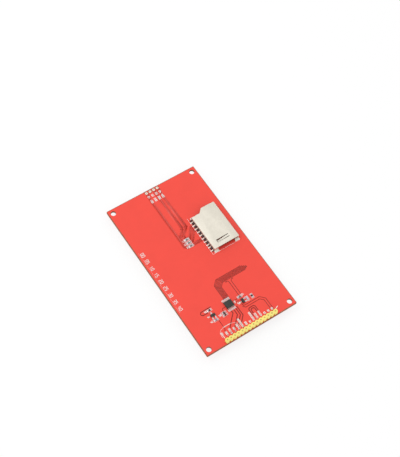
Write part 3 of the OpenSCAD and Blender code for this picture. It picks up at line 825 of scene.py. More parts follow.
class RibbonGrowth(Growth):
    """Flat raised strips along routes on the board, such as tracks and ink lines."""

    def __init__(self) -> None:
        """Writes the tree: round the bends, then sweep a low trapezoid."""
        super().__init__("ribbons", {"Width": "NodeSocketFloat", "Height": "NodeSocketFloat",
                                     "Bend": "NodeSocketFloat"})
        bent = self.node("GeometryNodeFilletCurve", {"mode": "POLY"},
                         {"Curve": self.inlet["Geometry"], "Radius": self.inlet["Bend"],
                          "Limit Radius": True, "Count": 3})
        flat = self.node("GeometryNodeSetCurveNormal", {"mode": "Z_UP"}, {0: bent.outputs[0]})
        slope = self.node("ShaderNodeMath", {"operation": "MULTIPLY_ADD"},
                          {0: self.inlet["Height"], 1: -1.2, 2: self.inlet["Width"]})
        section = self.node("GeometryNodeCurvePrimitiveQuadrilateral", {"mode": "TRAPEZOID"},
                            {"Height": self.inlet["Height"],
                             "Bottom Width": self.inlet["Width"],
                             "Top Width": slope.outputs[0], "Offset": 0.0})
        swept = self.node("GeometryNodeCurveToMesh", None,
                          {"Curve": flat.outputs[0], "Profile Curve": section.outputs[0],
                           "Fill Caps": True})
        self.close(swept.outputs[0])

    def lay(self, name: str, routes: Iterable[Route], width: float, height: float,
            finish: Finish, slot: str, bend: float = 0.3) -> bpy.types.Object:
        """Lays strips along routes.

        Args:
            name: The piece's name.
            routes: The routes, in millimetres. One that ends where it starts is closed.
            width: Width of a strip.
            height: Height of a strip over the board.
            finish: Its finish.
            slot: Name of a material slot; not used.
            bend: Radius of its bends.

        Returns:
            The piece.
        """
        curve = bpy.data.curves.new(name, "CURVE")
        curve.dimensions = "3D"
        for index, route in enumerate(routes):
            # strips that meet differ a little in height, so that no two faces coincide
            level = TOP + height / 2 + 0.002 * (index % 4)
            closed = route[0] == route[-1]
            points = route[:-1] if closed else route
            line = curve.splines.new("POLY")
            line.use_cyclic_u = closed
            line.points.add(len(points) - 1)
            for target, (x, y) in zip(line.points, points):
                target.co = (x * MM, y * MM, level * MM, 1)
        source = bpy.data.objects.new(name + "_routes", curve)
        bpy.context.scene.collection.objects.link(source)
        mesh = self.grow(source, finish, {"Width": width * MM, "Height": 1.02 * height * MM,
                                          "Bend": bend * MM})
        return finished(name, mesh)


@dataclass(frozen=True)
class Spot:
    """Where a repeated small form stands.

    Args:
        place: Its place, in millimetres.
        size: Its size along its own X, Y and Z.
        turn: Its turn about Z, in degrees.
    """

    place: tuple[float, float, float]
    size: tuple[float, float, float] = (1.0, 1.0, 1.0)
    turn: float = 0.0


class ScatterGrowth(Growth):
    """One small form repeated on spots, such as pads, solder fillets and vias."""

    def __init__(self) -> None:
        """Writes the tree: an instance on each point, turned and sized by its attributes."""
        super().__init__("repeats", {"Form": "NodeSocketObject"})
        form = self.node("GeometryNodeObjectInfo", None, {"Object": self.inlet["Form"]})
        turn = self.node("GeometryNodeInputNamedAttribute", {"data_type": "FLOAT_VECTOR"},
                         {"Name": "turn"})
        size = self.node("GeometryNodeInputNamedAttribute", {"data_type": "FLOAT_VECTOR"},
                         {"Name": "size"})
        placed = self.node("GeometryNodeInstanceOnPoints", None,
                           {"Points": self.inlet["Geometry"],
                            "Instance": form.outputs["Geometry"],
                            "Rotation": turn.outputs[0], "Scale": size.outputs[0]})
        self.close(placed.outputs[0])

    def repeat(self, name: str, form: bmesh.types.BMesh, spots: Sequence[Spot],
               finish: Finish, slot: str) -> bpy.types.Object:
        """Repeats a form on spots.

        Args:
            name: The piece's name.
            form: The form, in millimetres, which is used up.
            spots: Where it stands.
            finish: Its finish.
            slot: Name of a material slot; not used.

        Returns:
            The piece.
        """
        unit = bpy.data.meshes.new(name + "_form")
        form.to_mesh(unit)
        form.free()
        shape = bpy.data.objects.new(name + "_form", unit)
        points = bpy.data.meshes.new(name + "_spots")
        points.from_pydata([Vector(spot.place) * MM for spot in spots], [], [])
        turns = points.attributes.new("turn", "FLOAT_VECTOR", "POINT")
        sizes = points.attributes.new("size", "FLOAT_VECTOR", "POINT")
        for index, spot in enumerate(spots):
            turns.data[index].vector = (0, 0, math.radians(spot.turn))
            sizes.data[index].vector = Vector(spot.size) * MM
        source = bpy.data.objects.new(name + "_spots", points)
        for item in (shape, source):
            bpy.context.scene.collection.objects.link(item)
        mesh = self.grow(source, finish, {"Form": shape})
        bpy.data.objects.remove(shape)
        mesh.shade_smooth()
        mesh.set_sharp_from_angle(angle=FORM_SHARP)
        return finished(name, mesh)


# ---------------------------------------------------------------- small forms, 1 mm in size


def prism(outline: Sequence[Point], taper: float) -> bmesh.types.BMesh:
    """Makes an upright closed prism, 1 high.

    Args:
        outline: Its outline, anticlockwise.
        taper: Size of the top as a share of the base.

    Returns:
        The prism.
    """
    shape = bmesh.new()
    base = [shape.verts.new((x, y, 0)) for x, y in outline]
    top = [shape.verts.new((x * taper, y * taper, 1)) for x, y in outline]
    shape.faces.new(base[::-1])
    shape.faces.new(top)
    count = len(outline)
    for i in range(count):
        j = (i + 1) % count
        shape.faces.new((base[i], base[j], top[j], top[i]))
    return shape


def pad_form(corner: float = 0.12, steps: int = 3) -> bmesh.types.BMesh:
    """Makes a pad: a slab with round corners.

    Args:
        corner: Radius of its corners, as a share of its width.
        steps: Segments in each corner.

    Returns:
        The pad, 1 by 1 by 1, centred in X and Y.
    """
    outline = []
    for quarter, (sx, sy) in enumerate(((1, 1), (-1, 1), (-1, -1), (1, -1))):
        for step in range(steps + 1):
            angle = math.pi / 2 * (quarter + step / steps)
            outline.append((sx * (0.5 - corner) + corner * math.cos(angle),
                            sy * (0.5 - corner) + corner * math.sin(angle)))
    return prism(outline, taper=0.96)


def fillet_form(steps: int = 5) -> bmesh.types.BMesh:
    """Makes a solder fillet that sinks from a wall at y = 0 to the pad at y = 1.

    Args:
        steps: Divisions across and along.

    Returns:
        The fillet, 1 by 1 by 1, centred in X.
    """
    shape = bmesh.new()

    def height(u: float, v: float) -> float:
        """Height of the solder at u across, from -1 to 1, and v along, from 0 to 1."""
        return (1 - abs(u) ** 2.5) * ((1 - v) ** 2 * 0.85 + 0.15 * math.sqrt(1 - v ** 2))

    def corner(i: int, j: int) -> tuple[float, float]:
        """Place in the grid: u across and v along."""
        return 2 * i / steps - 1, j / steps

    rows = [[shape.verts.new((u / 2, v, height(u, v))) for u, v in
             (corner(i, j) for i in range(steps + 1))] for j in range(steps + 1)]
    floor = [[shape.verts.new((u / 2, v, -0.02)) for u, v in
              (corner(i, j) for i in range(steps + 1))] for j in range(steps + 1)]
    for j in range(steps):
        for i in range(steps):
            shape.faces.new((rows[j][i], rows[j][i + 1], rows[j + 1][i + 1], rows[j + 1][i]))
            shape.faces.new((floor[j][i], floor[j + 1][i], floor[j + 1][i + 1], floor[j][i + 1]))
    rim = ([(0, i) for i in range(steps)] + [(j, steps) for j in range(steps)]
           + [(steps, steps - i) for i in range(steps)] + [(steps - j, 0) for j in range(steps)])
    for (j0, i0), (j1, i1) in zip(rim, rim[1:] + rim[:1]):
        shape.faces.new((floor[j0][i0], floor[j1][i1], rows[j1][i1], rows[j0][i0]))
    bmesh.ops.recalc_face_normals(shape, faces=shape.faces)
    return shape


def turned_ring(profile: Sequence[Point], count: int = 28) -> bmesh.types.BMesh:
    """Turns a closed profile round Z.

    Args:
        profile: Points of radius and height.
        count: Segments round the ring.

    Returns:
        The ring.
    """
    shape = bmesh.new()
    rings = []
    for index in range(count):
        angle = 2 * math.pi * index / count
        rings.append([shape.verts.new((radius * math.cos(angle), radius * math.sin(angle), z))
                      for radius, z in profile])
    for ring, following in zip(rings, rings[1:] + rings[:1]):
        for k in range(len(profile)):
            m = (k + 1) % len(profile)
            shape.faces.new((ring[k], following[k], following[m], ring[m]))
    bmesh.ops.recalc_face_normals(shape, faces=shape.faces)
    return shape


# ---------------------------------------------------------------- marks in ink


class Facing(Enum):
    """Direction in which a mark is read, as its turn in degrees."""

    RIGHT = 0
    UP = 90
    DOWN = -90


@dataclass
class InkMarks:
    """White ink on the board: frames, lines, scale ticks and bolder plain numbers.

    Args:
        lines: The fine lines that were drawn so far.
        strokes: The strokes of numbers that were written so far.
        bars: The bold bars that were drawn so far.
    """

    lines: list[Route] = field(default_factory=list)
    strokes: list[Route] = field(default_factory=list)
    bars: list[Route] = field(default_factory=list)

    # from one digit to the next, in heights of a digit
    PITCH = 0.74
    # strokes of the digits 0 to 9, on a grid of one square by two
    LOOP = ((0, 0), (1, 0), (1, 2), (0, 2), (0, 0))
    DIGITS = (
        (LOOP,),
        (((0.2, 1.5), (0.6, 2), (0.6, 0)),),
        (((0, 2), (1, 2), (1, 1), (0, 1), (0, 0), (1, 0)),),
        (((0, 2), (1, 2), (1, 0), (0, 0)), ((0.2, 1), (1, 1))),
        (((0, 2), (0, 0.8), (1, 0.8)), ((0.8, 2), (0.8, 0))),
        (((1, 2), (0, 2), (0, 1.1), (1, 1.1), (1, 0), (0, 0)),),
        (((1, 2), (0, 2), (0, 0), (1, 0), (1, 1.05), (0, 1.05)),),
        (((0, 2), (1, 2), (0.4, 0)),),
        (LOOP, ((0, 1), (1, 1))),
        (((1, 0.95), (0, 0.95), (0, 2), (1, 2), (1, 0), (0, 0)),),
    )

    def line(self, *points: Point) -> None:
        """Draws a fine line through points."""
        self.lines.append(points)

    def box(self, x: float, y: float, width: float, length: float) -> None:
        """Draws a frame round a middle point."""
        a, b = width / 2, length / 2
        self.line((x - a, y - b), (x + a, y - b), (x + a, y + b), (x - a, y + b), (x - a, y - b))

    def number(self, digits: str, x: float, y: float, height: float,
               facing: Facing = Facing.RIGHT) -> None:
        """Writes a plain number.

        Args:
            digits: The number's digits.
            x: Left end of the number, as it is read.
            y: Its base line there.
            height: Height of a digit.
            facing: Direction in which it is read.
        """
        half = height / 2
        cos, sin = (round(f(math.radians(facing.value))) for f in (math.cos, math.sin))
        for index, digit in enumerate(digits):
            left = index * height * self.PITCH
            for stroke in self.DIGITS[int(digit)]:
                ends = [(left + u * half * 0.95, v * half) for u, v in stroke]
                self.strokes.append([(x + u * cos - v * sin, y + u * sin + v * cos)
                                     for u, v in ends])

    def ticks(self, x: float, y: float, step: Point, reach: Point, count: int) -> None:
        """Draws a row of ticks.

        Args:
            x: Start of the first tick.
            y: Start of the first tick.
            step: Way from one tick to the next.
            reach: Way from a tick's start to its end.
            count: Number of ticks.
        """
        for i in range(count):
            start = (x + i * step[0], y + i * step[1])
            self.line(start, (start[0] + reach[0], start[1] + reach[1]))


# ---------------------------------------------------------------- carrier board


@dataclass
class CarrierBoard:
    """Board with its tracks, pads, plated holes and ink marks.

    Args:
        ribbons: Lays tracks and ink lines.
        repeats: Repeats pads and vias.
        copper: Height of a masked track over the laminate.
        ink: Height of an ink line, which lies over the tracks.
        broad: Width of a broad track.
        clearance: Width of the bare strip under a broad track.
        fine: Width of a fine track.
        middling: Width of a track to a pin.
        line: Width of a line of ink.
        stroke: Width of a number's stroke.
        bar: Width of a bar of ink.
        pin_pitch: Distance between header pins.
        pins: Number of header pins.
    """

    ribbons: RibbonGrowth
    repeats: ScatterGrowth
    copper: float = 0.02
    ink: float = 0.036
    broad: float = 1.3
    clearance: float = 2.3
    fine: float = 0.36
    middling: float = 0.55
    line: float = 0.15
    stroke: float = 0.3
    bar: float = 0.42
    pin_pitch: float = 2.54
    pins: int = 14

    def pin_x(self, index: int) -> float:
        """Place of a header pin along the row, with 0 as the leftmost."""
        return (index - (self.pins - 1) / 2) * self.pin_pitch

    def fan(self) -> list[Route]:
        """Tracks that leave the touch controller together, turn right and end one by one."""
        chip = Box.of("controller_leads")
        routes = []
        for i in range(7):
            lead_x = chip.middle.x + (i - 2.5) * LEAD_PITCH
            x = -3.65 + 0.55 * i
            y = -17.4 - 0.57 * i
            bend = 3.0 - 0.15 * i
            end_x = 19.9 - abs(i - 3.6)
            routes.append([(lead_x, chip.high.y - 0.2), (lead_x, chip.high.y + 0.4),
                           (x, chip.high.y + 0.4 + abs(x - lead_x)), (x, y - bend),
                           (x + bend, y), (end_x, y)])
        return routes

    def pin_tracks(self) -> list[Route]:
        """Tracks that fall from the controller and turn left, each to its own pin."""
        start = Box.of("controller_leads").low.y
        routes = []
        for x, turn, pin in ((-3.98, -39.9, 2), (-2.35, -42.0, 3), (-0.9, -42.9, 4),
                             (0.25, -43.9, 5)):
            target = self.pin_x(pin)
            routes.append([(x, start), (x, turn), (target, turn - x + target),
                           (target, -51.6)])
        return routes

    def broad_routes(self) -> list[Route]:
        """Broad tracks from the four pads over the series resistors to the card contacts."""
        resistors = [Box.of(f"resistor_{i}").middle for i in (1, 2, 3)]
        x, rows = resistors[0].x, [middle.y for middle in resistors]
        left, right = x - 0.9, x + 0.9
        ends = CardSocket.contact_rows()
        foot = Box.of("card_contacts").low.x
        return [
            [(-3.81, 51.6), (-4.05, 46), (-4.05, 10), (-2.7, rows[2]), (left, rows[2])],
            [(1.27, 51.6), (1.15, 46), (1.15, 20.6), (-2.7, 16.7), (-2.7, 12.2), (left, rows[1])],
            [(3.81, 51.6), (3.8, 46), (3.8, 21), (-0.9, 16.3), (-0.9, 15), (left, rows[0])],
            [(right, rows[0]), (1.4, rows[0] + 0.2), (foot - 1.3, ends[1]), (foot, ends[1])],
            [(right, rows[1]), (1.9, rows[1] + 0.2), (foot - 0.9, ends[2]), (foot, ends[2])],
            [(right, rows[2]), (foot, ends[5])],
        ]

    def fine_routes(self) -> list[Route]:
        """Thin tracks on the component face."""
        return [
            # pair above the transistor
            [(5.2, -32.9), (5.2, -22.2), (4.6, -21.6), (3.6, -21.6)],
            [(6.7, -32.4), (6.7, -22.4), (7.5, -21.6), (8.2, -21.6)],
            # pair that runs right and down to the last pin
            [(3.5, -37.6), (3.5, -38.6), (4.3, -39.4), (14.6, -39.4), (17.3, -42.1),
             (17.3, -50.6)],
            [(3.2, -39.6), (4.4, -40.8), (14.1, -40.8), (15.9, -42.6), (15.9, -50.9)],
            [(-13.7, -38.4), (-13.3, -39), (-13.3, -45.6), (-13.97, -46.3), (-13.97, -51.6)],
            # short runs beside the controller
            [(-5.6, -34.5), (-7.4, -34.5), (-8, -35.1), (-8, -36.6)],
            [(0, -33.9), (3.4, -33.9), (3.9, -33.5)],
            [(0, -35.1), (2.6, -35.1), (3.4, -35.8)],
        ]

    @staticmethod
    def wide_routes() -> list[Route]:
        """Tracks of middling width: a loop at the regulator and arches over the pins."""
        return [
            [(-12.9, -30), (-19.3, -30), (-20.1, -30.8), (-20.1, -31.5), (-19.3, -32.3),
             (-16.2, -32.3)],
            [(4.9, -47.5), (4.9, -43), (5.7, -42.2), (8.5, -42.2), (9.3, -43), (9.3, -47.5)],
            [(5.9, -46.2), (5.9, -43.9), (6.5, -43.3), (7.7, -43.3), (8.3, -43.9),
             (8.3, -46.2)],
        ]

    def via_spots(self) -> list[Spot]:
        """Plated vias at the ends of tracks that change face."""
        ends = [route[-1] for route in self.fan()]
        ends += [(3.6, -21.6), (8.2, -21.6), (-12.9, -30), (-16.2, -32.3), (3.2, -39.6)]
        return [Spot((x, y, TOP)) for x, y in ends]

    def pad_spots(self) -> list[Spot]:
        """Tinned pads under leads, chip ends and socket feet."""
        spots = []
        chip = Box.of("controller_leads")
        for i in range(8):
            x = chip.middle.x + (i - 3.5) * LEAD_PITCH
            for y in (chip.low.y - 0.05, chip.high.y + 0.05):
                spots.append(Spot((x, y, TOP), (0.42, 1.6, 0.03)))
        for name in chip_names():
            spots += self._chip_pads(Box.of(name))
        for name, turn in (("regulator_leads", 0), ("transistor_leads", 90)):
            spots += self._three_pads(Box.of(name), turn)
        contacts = Box.of("card_contacts")
        for y in CardSocket.contact_rows():
            spots.append(Spot((contacts.low.x + 0.4, y, TOP), (1.1, 0.9, 0.03)))
        spots += [Spot((x, y - 0.45 * side, TOP), (3.1, 1.3, 0.03))
                  for x, y, side in CardSocket.feet()]
        return spots

    @staticmethod
    def _chip_pads(box: Box) -> list[Spot]:
        """Returns the two pads of a small chip from its body's box."""
        middle = box.middle
        along_x = box.size.x > box.size.y
        pads = []
        for side in (-1, 1):
            dx, dy = (0.85 * side, 0) if along_x else (0, 0.85 * side)
            size = (0.95, 1.05, 0.03) if along_x else (1.05, 0.95, 0.03)
            pads.append(Spot((middle.x + dx, middle.y + dy, TOP), size))
        return pads

    @staticmethod
    def _three_pads(box: Box, turn: float) -> list[Spot]:
        """Returns the three pads of a three-lead package from its leads' box."""
        middle, size = box.middle, box.size
        if turn:
            places = [(-1, 0), (1, -1), (1, 1)]
            return [Spot((middle.x + sx * (size.x / 2 - 0.25),
                          middle.y + sy * SMALL_LEAD_OFFSET, TOP), (1.1, 0.8, 0.03))
                    for sx, sy in places]
        places = [(0, 1), (-1, -1), (1, -1)]
        return [Spot((middle.x + sx * SMALL_LEAD_OFFSET,
                      middle.y + sy * (size.y / 2 - 0.25), TOP), (0.8, 1.1, 0.03))
                for sx, sy in places]

    def marks(self) -> InkMarks:
        """Everything printed on the component face."""
        ink = InkMarks()
        # beside the four pads: plain numbers read downwards
        for i, x in enumerate((-3.9, -1.35, 1.3, 3.75)):
            ink.number(f"{i + 1:02d}", x - 0.6, 50.15, 1.2, Facing.DOWN)
            ink.number(str(100 * (i + 1)), x - 0.6, 47.3, 1.2, Facing.DOWN)
        # frames and numbers of the series resistors
        for i in (1, 2, 3):
            middle = Box.of(f"resistor_{i}").middle
            for grown in (0, 0.28):
                ink.box(middle.x, middle.y, 3.2 + grown, 1.5 + grown)
            ink.number(str(i), middle.x - 2.9, middle.y - 0.6, 1.2)
        # outline of the card socket
        shell = Box.of("socket_shell")
        left, near = Box.of("card_contacts").low.x - 0.1, shell.low.y - 0.4
        ink.line((left, shell.high.y - 1.5), (left, near), (shell.high.x, near))
        self._edge_scale(ink)
        self._chip_marks(ink)
        self._header_marks(ink)
        return ink

    @staticmethod
    def _edge_scale(ink: InkMarks) -> None:
        """Draws a plain scale in 5 mm steps, read from the far end."""
        for i in range(9):
            y = 19.4 - 5 * i
            ink.number(f"{5 * i:02d}", -28.9, y, 2.0, Facing.DOWN)
        ink.ticks(-29.6, 20.3, (0, -1), (0.35, 0), 45)

    @staticmethod
    def _chip_marks(ink: InkMarks) -> None:
        """Draws frames and plain numbers round the small chips."""
        for digits, x, y in (("40", -17.7, -31.7), ("41", -17.7, -35.3), ("42", -17.9, -38.8),
                             ("50", -11.7, -37.9), ("51", 6.7, -33.6), ("52", 1.7, -37.2)):
            ink.number(digits, x, y, 1.05)
        ink.number("44", 1.4, -35.4, 1.1, Facing.UP)
        for name, length in (("resistor_4", 3.1), ("resistor_5", 3.1), ("resistor_6", 3.1),
                             ("capacitor_3", 3.1), ("capacitor_4", 3.1)):
            box = Box.of(name)
            along_x = box.size.x > box.size.y
            ink.box(box.middle.x, box.middle.y, *((length, 1.6) if along_x else (1.6, length)))
        ink.box(-8.4, -37.75, 3.5, 3.1)

    def _header_marks(self, ink: InkMarks) -> None:
        """Draws the pin numbers, their leader lines and the frame of the left pins."""
        ends = (-46.5, -47.3, -46.3, -47, -46.5, -43.2, -48, -48.2, -43.3, -46.3, -46.3,
                -48.8, -48.3, -48.2)
        for i, end in enumerate(ends):
            count = round((end + 50) / ink.PITCH)
            label = f"{14 - i:02d}{14 - i:02d}{14 - i:02d}00"[-count:]
            ink.number(label, self.pin_x(i) + 0.5, -50.0, 1.0, Facing.UP)
        ink.line((-17.5, -49.4), (-17.2, -46.6), (-15.9, -45), (-13.4, -44.4), (-9.2, -44.4),
                 (-6.9, -45), (-5.4, -46.4), (-5.1, -49.4))
        ink.bars += [[(-13.4, -44.4), (-9.2, -44.4)], [(18.3, -50.7), (20.3, -49.8)]]

    def build(self) -> None:
        """Builds and dresses the board."""
        mask = BoardFinish("solder_mask", TOP * MM, UNDER * MM,
                           (BOARD.high.x * MM, BOARD.high.y * MM))
        dress(mask, "circuit_board")
        broad, fine = self.broad_routes(), self.fan() + self.fine_routes()
        middling, ink = self.pin_tracks() + self.wide_routes(), self.marks()
        for name, routes, width, height, finish in (
                ("track_clearances", broad, self.clearance, self.copper / 2, CLEARANCE),
                ("broad_tracks", broad, self.broad, self.copper, BROAD_TRACE),
                ("fine_tracks", fine, self.fine, self.copper, TRACE),
                ("pin_tracks", middling, self.middling, self.copper, TRACE)):
            self.ribbons.lay(name, routes, width, height, finish, "board")
        for name, routes, width, bend in (("ink_lines", ink.lines, self.line, 0.12),
                                          ("ink_numbers", ink.strokes, self.stroke, 0.12),
                                          ("ink_bars", ink.bars, self.bar, 0.3)):
            self.ribbons.lay(name, routes, width, self.ink, INK, "board", bend)
        self.repeats.repeat("tinned_pads", pad_form(), self.pad_spots(), TINNED, "solder")
        via = turned_ring([(0.16, 0.0), (0.16, 0.03), (0.32, 0.04), (0.38, 0.0)], 20)
        self.repeats.repeat("vias", via, self.via_spots(), TRACE, "board")
        self._plated_holes()

    def _plated_holes(self) -> None:
        """Builds the tinned barrels and rings of the header holes and the four empty holes."""
        hole, ring = 0.5, 0.78
        low, high = UNDER - 0.03, TOP + 0.03
        barrel = turned_ring([(hole - 0.03, low), (hole - 0.03, high), (ring, high),
                              (ring + 0.03, high - 0.03), (hole, high - 0.03),
                              (hole, low + 0.03), (ring + 0.03, low + 0.03), (ring, low)])
        row_y = Box.of("header_housing").middle.y
        spots = [Spot((self.pin_x(i), row_y, 0)) for i in range(self.pins)]
        empty = [Spot(((i - 1.5) * self.pin_pitch, -row_y, 0)) for i in range(4)]
        self.repeats.repeat("plated_holes", barrel, spots + empty, PLATING, "solder")
        rim = turned_ring([(ring, TOP), (ring, TOP + 0.012), (1.2, TOP + 0.012), (1.22, TOP)])
        self.repeats.repeat("hole_rims", rim, empty, RING, "board")


def chip_names() -> list[str]:
    """Returns the nodes of the small chips' bodies."""
    return [f"resistor_{i}" for i in range(1, 7)] + [f"capacitor_{i}" for i in range(1, 5)]


# ---------------------------------------------------------------- parts on the board


@dataclass
class PinHeader:
    """Row of pins in a yellow housing.

    Args:
        edge: Radius of the housing's edges, in millimetres.
        pins: Number of pins.
    """

    edge: float = 0.08
    pins: int = 14

    def build(self) -> None:
        """Builds the housing and dresses the pins and their solder."""
        softened("header_housing", "header_row", HOUSING, self.edge)
        dress(PIN, *(f"header_pin_{i:02d}" for i in range(1, self.pins + 1)))
        dress(SOLDER, "header_solder")


@dataclass
class CardSocket:
    """Stamped card socket with its contacts.

    Args:
        repeats: Repeats solder fillets.
        shell_edge: Radius of the shell's edges, in millimetres.
        base_edge: Radius of the base's edges, in millimetres.
    """

    repeats: ScatterGrowth
    shell_edge: float = 0.05
    base_edge: float = 0.08

    @staticmethod
    def contact_rows() -> list[float]:
        """Returns the middle of each contact along Y, the switch contact last."""
        contacts = Box.of("card_contacts")
        width = contacts.size.y - 7 * CONTACT_PITCH - LAST_CONTACT_PITCH
        first = contacts.high.y - width / 2
        rows = [first - CONTACT_PITCH * min(i, 7) - LAST_CONTACT_PITCH * max(i - 7, 0)
                for i in range(9)]
        return rows + [Box.of("switch_contact").middle.y]

    @staticmethod
    def feet() -> list[tuple[float, float, int]]:
        """Returns the shell's feet: X of the middle, Y of the end, and the side it points to."""
        shell = Box.of("socket_shell")
        left, right = shell.low.x + 1.4, shell.high.x - 1.4
        return [(left, shell.low.y, -1), (right, shell.low.y, -1), (right, shell.high.y, 1),
                (left, shell.high.y - 2.5, 1)]

    def fillet_spots(self) -> list[Spot]:
        """Solder in front of each contact foot and shell foot."""
        contacts = Box.of("card_contacts")
        spots = [Spot((contacts.low.x + 0.02, y, TOP + 0.02), (0.75, 0.25, 0.15), 90)
                 for y in self.contact_rows()]
        spots += [Spot((x, y - 0.02 * side, TOP + 0.02), (2.7, 0.2, 0.19), 90 - 90 * side)
                  for x, y, side in self.feet()]
        return spots

    def build(self) -> None:
        """Builds the shell and base, and dresses the contacts."""
        softened("socket_shell", "socket_cover", SHELL, self.shell_edge)
        softened("socket_base", "socket_block", SOCKET, self.base_edge)
        dress(CONTACT, "card_contacts", "switch_contact")
        self.repeats.repeat("socket_solder", fillet_form(), self.fillet_spots(), SOLDER,
                            "solder")


@dataclass
class SmallChips:
    """Touch controller, three-lead packages, resistors and capacitors.

    Args:
        repeats: Repeats solder fillets.
        edge: Radius of the moulded bodies' edges, in millimetres.
    """

    repeats: ScatterGrowth
    edge: float = 0.06

    def fillet_spots(self) -> list[Spot]:
        """Solder at the toe of each lead and at each chip end."""
        chip = Box.of("controller_leads")
        spots = []
        for i in range(8):
            x = chip.middle.x + (i - 3.5) * LEAD_PITCH
            spots.append(Spot((x, chip.high.y - 0.02, TOP + 0.02), (0.34, 0.35, 0.14)))
            spots.append(Spot((x, chip.low.y + 0.02, TOP + 0.02), (0.34, 0.35, 0.14), 180))
        for name in chip_names():
            box = Box.of(name)
            middle = box.middle
            along_x = box.size.x > box.size.y
            for side in (-1, 1):
                dx, dy = (0.79 * side, 0) if along_x else (0, 0.79 * side)
                turn = -90 * side if along_x else (0 if side > 0 else 180)
                spots.append(Spot((middle.x + dx, middle.y + dy, TOP + 0.02),
                                  (0.9, 0.5, box.size.z * 0.75), turn))
        regulator, transistor = Box.of("regulator_leads"), Box.of("transistor_leads")
        spots.append(Spot((regulator.middle.x, regulator.high.y - 0.02, TOP + 0.02),
                          (0.6, 0.4, 0.16)))
        spots += [Spot((regulator.middle.x + x, regulator.low.y + 0.02, TOP + 0.02),
                       (0.6, 0.4, 0.16), 180)
                  for x in (-SMALL_LEAD_OFFSET, SMALL_LEAD_OFFSET)]
        spots.append(Spot((transistor.low.x + 0.02, transistor.middle.y, TOP + 0.02),
                          (0.6, 0.4, 0.16), 90))
        spots += [Spot((transistor.high.x - 0.02, transistor.middle.y + y, TOP + 0.02),
                       (0.6, 0.4, 0.16), -90)
                  for y in (-SMALL_LEAD_OFFSET, SMALL_LEAD_OFFSET)]
        return spots

    def build(self) -> None:
        """Builds the bodies and dresses the leads and the small chips."""
        softened("controller_body", "controller_case", COMPOUND, self.edge)
        softened("regulator_body", "regulator_case", COMPOUND, self.edge)
        softened("transistor_body", "transistor_case", COMPOUND, self.edge)
        dress(LEAD, "controller_leads", "regulator_leads", "transistor_leads")
        dress(SOLDER, "chip_ends")
        dress(GREY_GLAZE, "resistor_1", "resistor_2", "resistor_3")
        dress(GLAZE, "resistor_4", "resistor_6")
        dress(DARK_CERAMIC, "capacitor_1", "capacitor_2")
        dress(ALUMINA, "capacitor_3")
        dress(LILAC_GLAZE, "resistor_5")
        dress(PALE_CERAMIC, "capacitor_4")
        self.repeats.repeat("chip_solder", fillet_form(), self.fillet_spots(), SOLDER, "solder")


# ---------------------------------------------------------------- display panel


@dataclass
class DisplayPanel:
    """Touch screen, liquid-crystal cell and backlight under the board.

    Args:
        picture: Width and length of the picture, in millimetres.
        far_border: Border beyond the picture at the far end, in millimetres.
    """

    picture: Point = (55.68, 83.52)
    far_border: float = 2.6

    def build(self) -> None:
        """Dresses the panel's pieces from the face inwards."""
        film = Box.of("backlight_frame")
        middle_y = film.high.y - self.far_border - self.picture[1] / 2
        face = ScreenFace("screen_face", (0.0, middle_y * MM),
                          (self.picture[0] / 2 * MM, self.picture[1] / 2 * MM))
        dress(face, "touch_film")
        dress(GUM, "touch_spacer", "touch_adhesive")
        dress(GLASS, "touch_glass", "colour_filter_glass", "array_glass")
        dress(POLARISER, "front_polariser", "rear_polariser")
        dress(SILICON, "driver_chip")
        dress(FlexFinish("panel_flex_film", 0.8 * MM), "panel_flex")
        dress(FlexFinish("touch_flex_film", 1.0 * MM), "touch_flex")
        dress(TAPE, "rim_tape")
        dress(OPTICAL, "prism_film", "diffuser_film")
        dress(GUIDE, "light_guide")
        dress(GUM, "led_strip")
        dress(LED_BODY, "backlight_leds")
        dress(REFLECTOR, "reflector_sheet")
        dress(WHITE_PLASTIC, "backlight_frame")
        dress(Foam(), "foam_tape")


# ---------------------------------------------------------------- studio


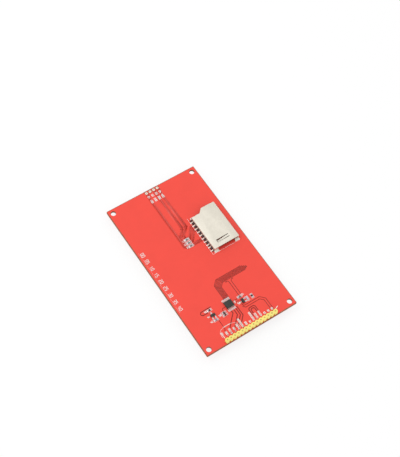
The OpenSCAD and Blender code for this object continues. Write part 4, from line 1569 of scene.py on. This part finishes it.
@dataclass
class Studio:
    """White floor, soft light and the camera.

    Args:
        eye: Place of the camera, in metres.
        forward: Direction in which it looks.
        up: Direction of the picture's top.
        lens: Focal length in millimetres, on a 36 mm sensor.
        ambient: Strength of the even light from all round.
        key: Power of the soft lamp, in watts.
        lamp_place: Place of that lamp.
        lamp_size: Diameter of that lamp.
        floor_half: Half of the floor's width.
        shadow: Share of the floor's own shading that shows.
    """

    eye: tuple[float, float, float] = (-0.178687, -0.212056, 0.537625)
    forward: tuple[float, float, float] = (0.3104, 0.3737, -0.8741)
    up: tuple[float, float, float] = (0.4603, 0.7454, 0.4822)
    lens: float = 81.08
    ambient: float = 0.88
    key: float = 1.7
    lamp_place: tuple[float, float, float] = (-0.35, 0.3, 0.75)
    lamp_size: float = 0.5
    floor_half: float = 3.0
    shadow: float = 0.2

    def build(self) -> None:
        """Builds the floor, the light and the camera."""
        self._floor()
        self._world()
        self._lamp()
        self._camera()

    @staticmethod
    def _seen_directly(graph: Graph) -> Value:
        """Returns 1 for what the camera, a mirror or glass sees, and 0 for light itself."""
        path = graph.node("ShaderNodeLightPath").outputs
        camera = Value(graph, path["Is Camera Ray"])
        either = camera + Value(graph, path["Is Glossy Ray"])
        either = either + Value(graph, path["Is Transmission Ray"])
        return either.math("MINIMUM", either, 1.0)

    def _floor(self) -> None:
        """Lays a white floor that keeps a soft shadow."""
        half = self.floor_half
        level = CAD_BOX[0][2] - 0.02 * MM
        mesh = bpy.data.meshes.new("floor")
        mesh.from_pydata([(-half, -half, level), (half, -half, level), (half, half, level),
                          (-half, half, level)], [], [(0, 1, 2, 3)])
        shader = Shader("floor_white")
        matt = shader.node("ShaderNodeBsdfDiffuse", None, {"Color": (0.98, 0.98, 0.98)})
        white = shader.node("ShaderNodeEmission", None, {"Color": (1, 1, 1), "Strength": 1.0})
        share = self._seen_directly(shader) * (1 - self.shadow)
        both = shader.node("ShaderNodeMixShader", None,
                           {0: share, 1: matt.outputs[0], 2: white.outputs[0]})
        shader.node("ShaderNodeOutputMaterial", None, {"Surface": both.outputs[0]})
        mesh.materials.append(shader.material)
        floor = bpy.data.objects.new("floor", mesh)
        bpy.context.scene.collection.objects.link(floor)

    def _world(self) -> None:
        """Lights the module evenly, and shows white behind it."""
        world = bpy.data.worlds.new("studio")
        world.use_nodes = True
        bpy.context.scene.world = world
        graph = Graph(world.node_tree)
        strength = self.ambient + self._seen_directly(graph) * (1 - self.ambient)
        light = graph.node("ShaderNodeBackground", None,
                           {"Color": (1, 1, 1), "Strength": strength})
        graph.node("ShaderNodeOutputWorld", None, {"Surface": light.outputs[0]})

    def _lamp(self) -> None:
        """Hangs a large soft lamp over the far left of the module."""
        lamp = bpy.data.lights.new("key", "AREA")
        lamp.shape = "DISK"
        lamp.size = self.lamp_size
        lamp.energy = self.key
        holder = bpy.data.objects.new("key", lamp)
        holder.location = self.lamp_place
        holder.rotation_euler = (-holder.location).to_track_quat("-Z", "Y").to_euler()
        bpy.context.scene.collection.objects.link(holder)

    def _camera(self) -> None:
        """Sets the camera."""
        lens = bpy.data.cameras.new("camera")
        lens.lens = self.lens
        lens.sensor_width = 36
        lens.clip_end = 10
        camera = bpy.data.objects.new("camera", lens)
        back = -Vector(self.forward).normalized()
        side = Vector(self.up).cross(back).normalized()
        upright = back.cross(side)
        axes = Matrix((side, upright, back)).transposed().to_4x4()
        camera.matrix_world = Matrix.Translation(self.eye) @ axes
        bpy.context.scene.collection.objects.link(camera)
        bpy.context.scene.camera = camera


def main() -> None:
    """Builds the module's looks, one sub-assembly after another, and then the studio."""
    logging.basicConfig(level=logging.INFO, format="%(name)s %(message)s")
    bpy.context.scene.view_settings.view_transform = "Standard"
    ribbons, repeats = RibbonGrowth(), ScatterGrowth()
    for assembly in (CarrierBoard(ribbons, repeats), PinHeader(), CardSocket(repeats),
                     SmallChips(repeats), DisplayPanel(), Studio()):
        LOG.info("building %s", type(assembly).__name__)
        assembly.build()


if __name__ == "__main__":
    main()
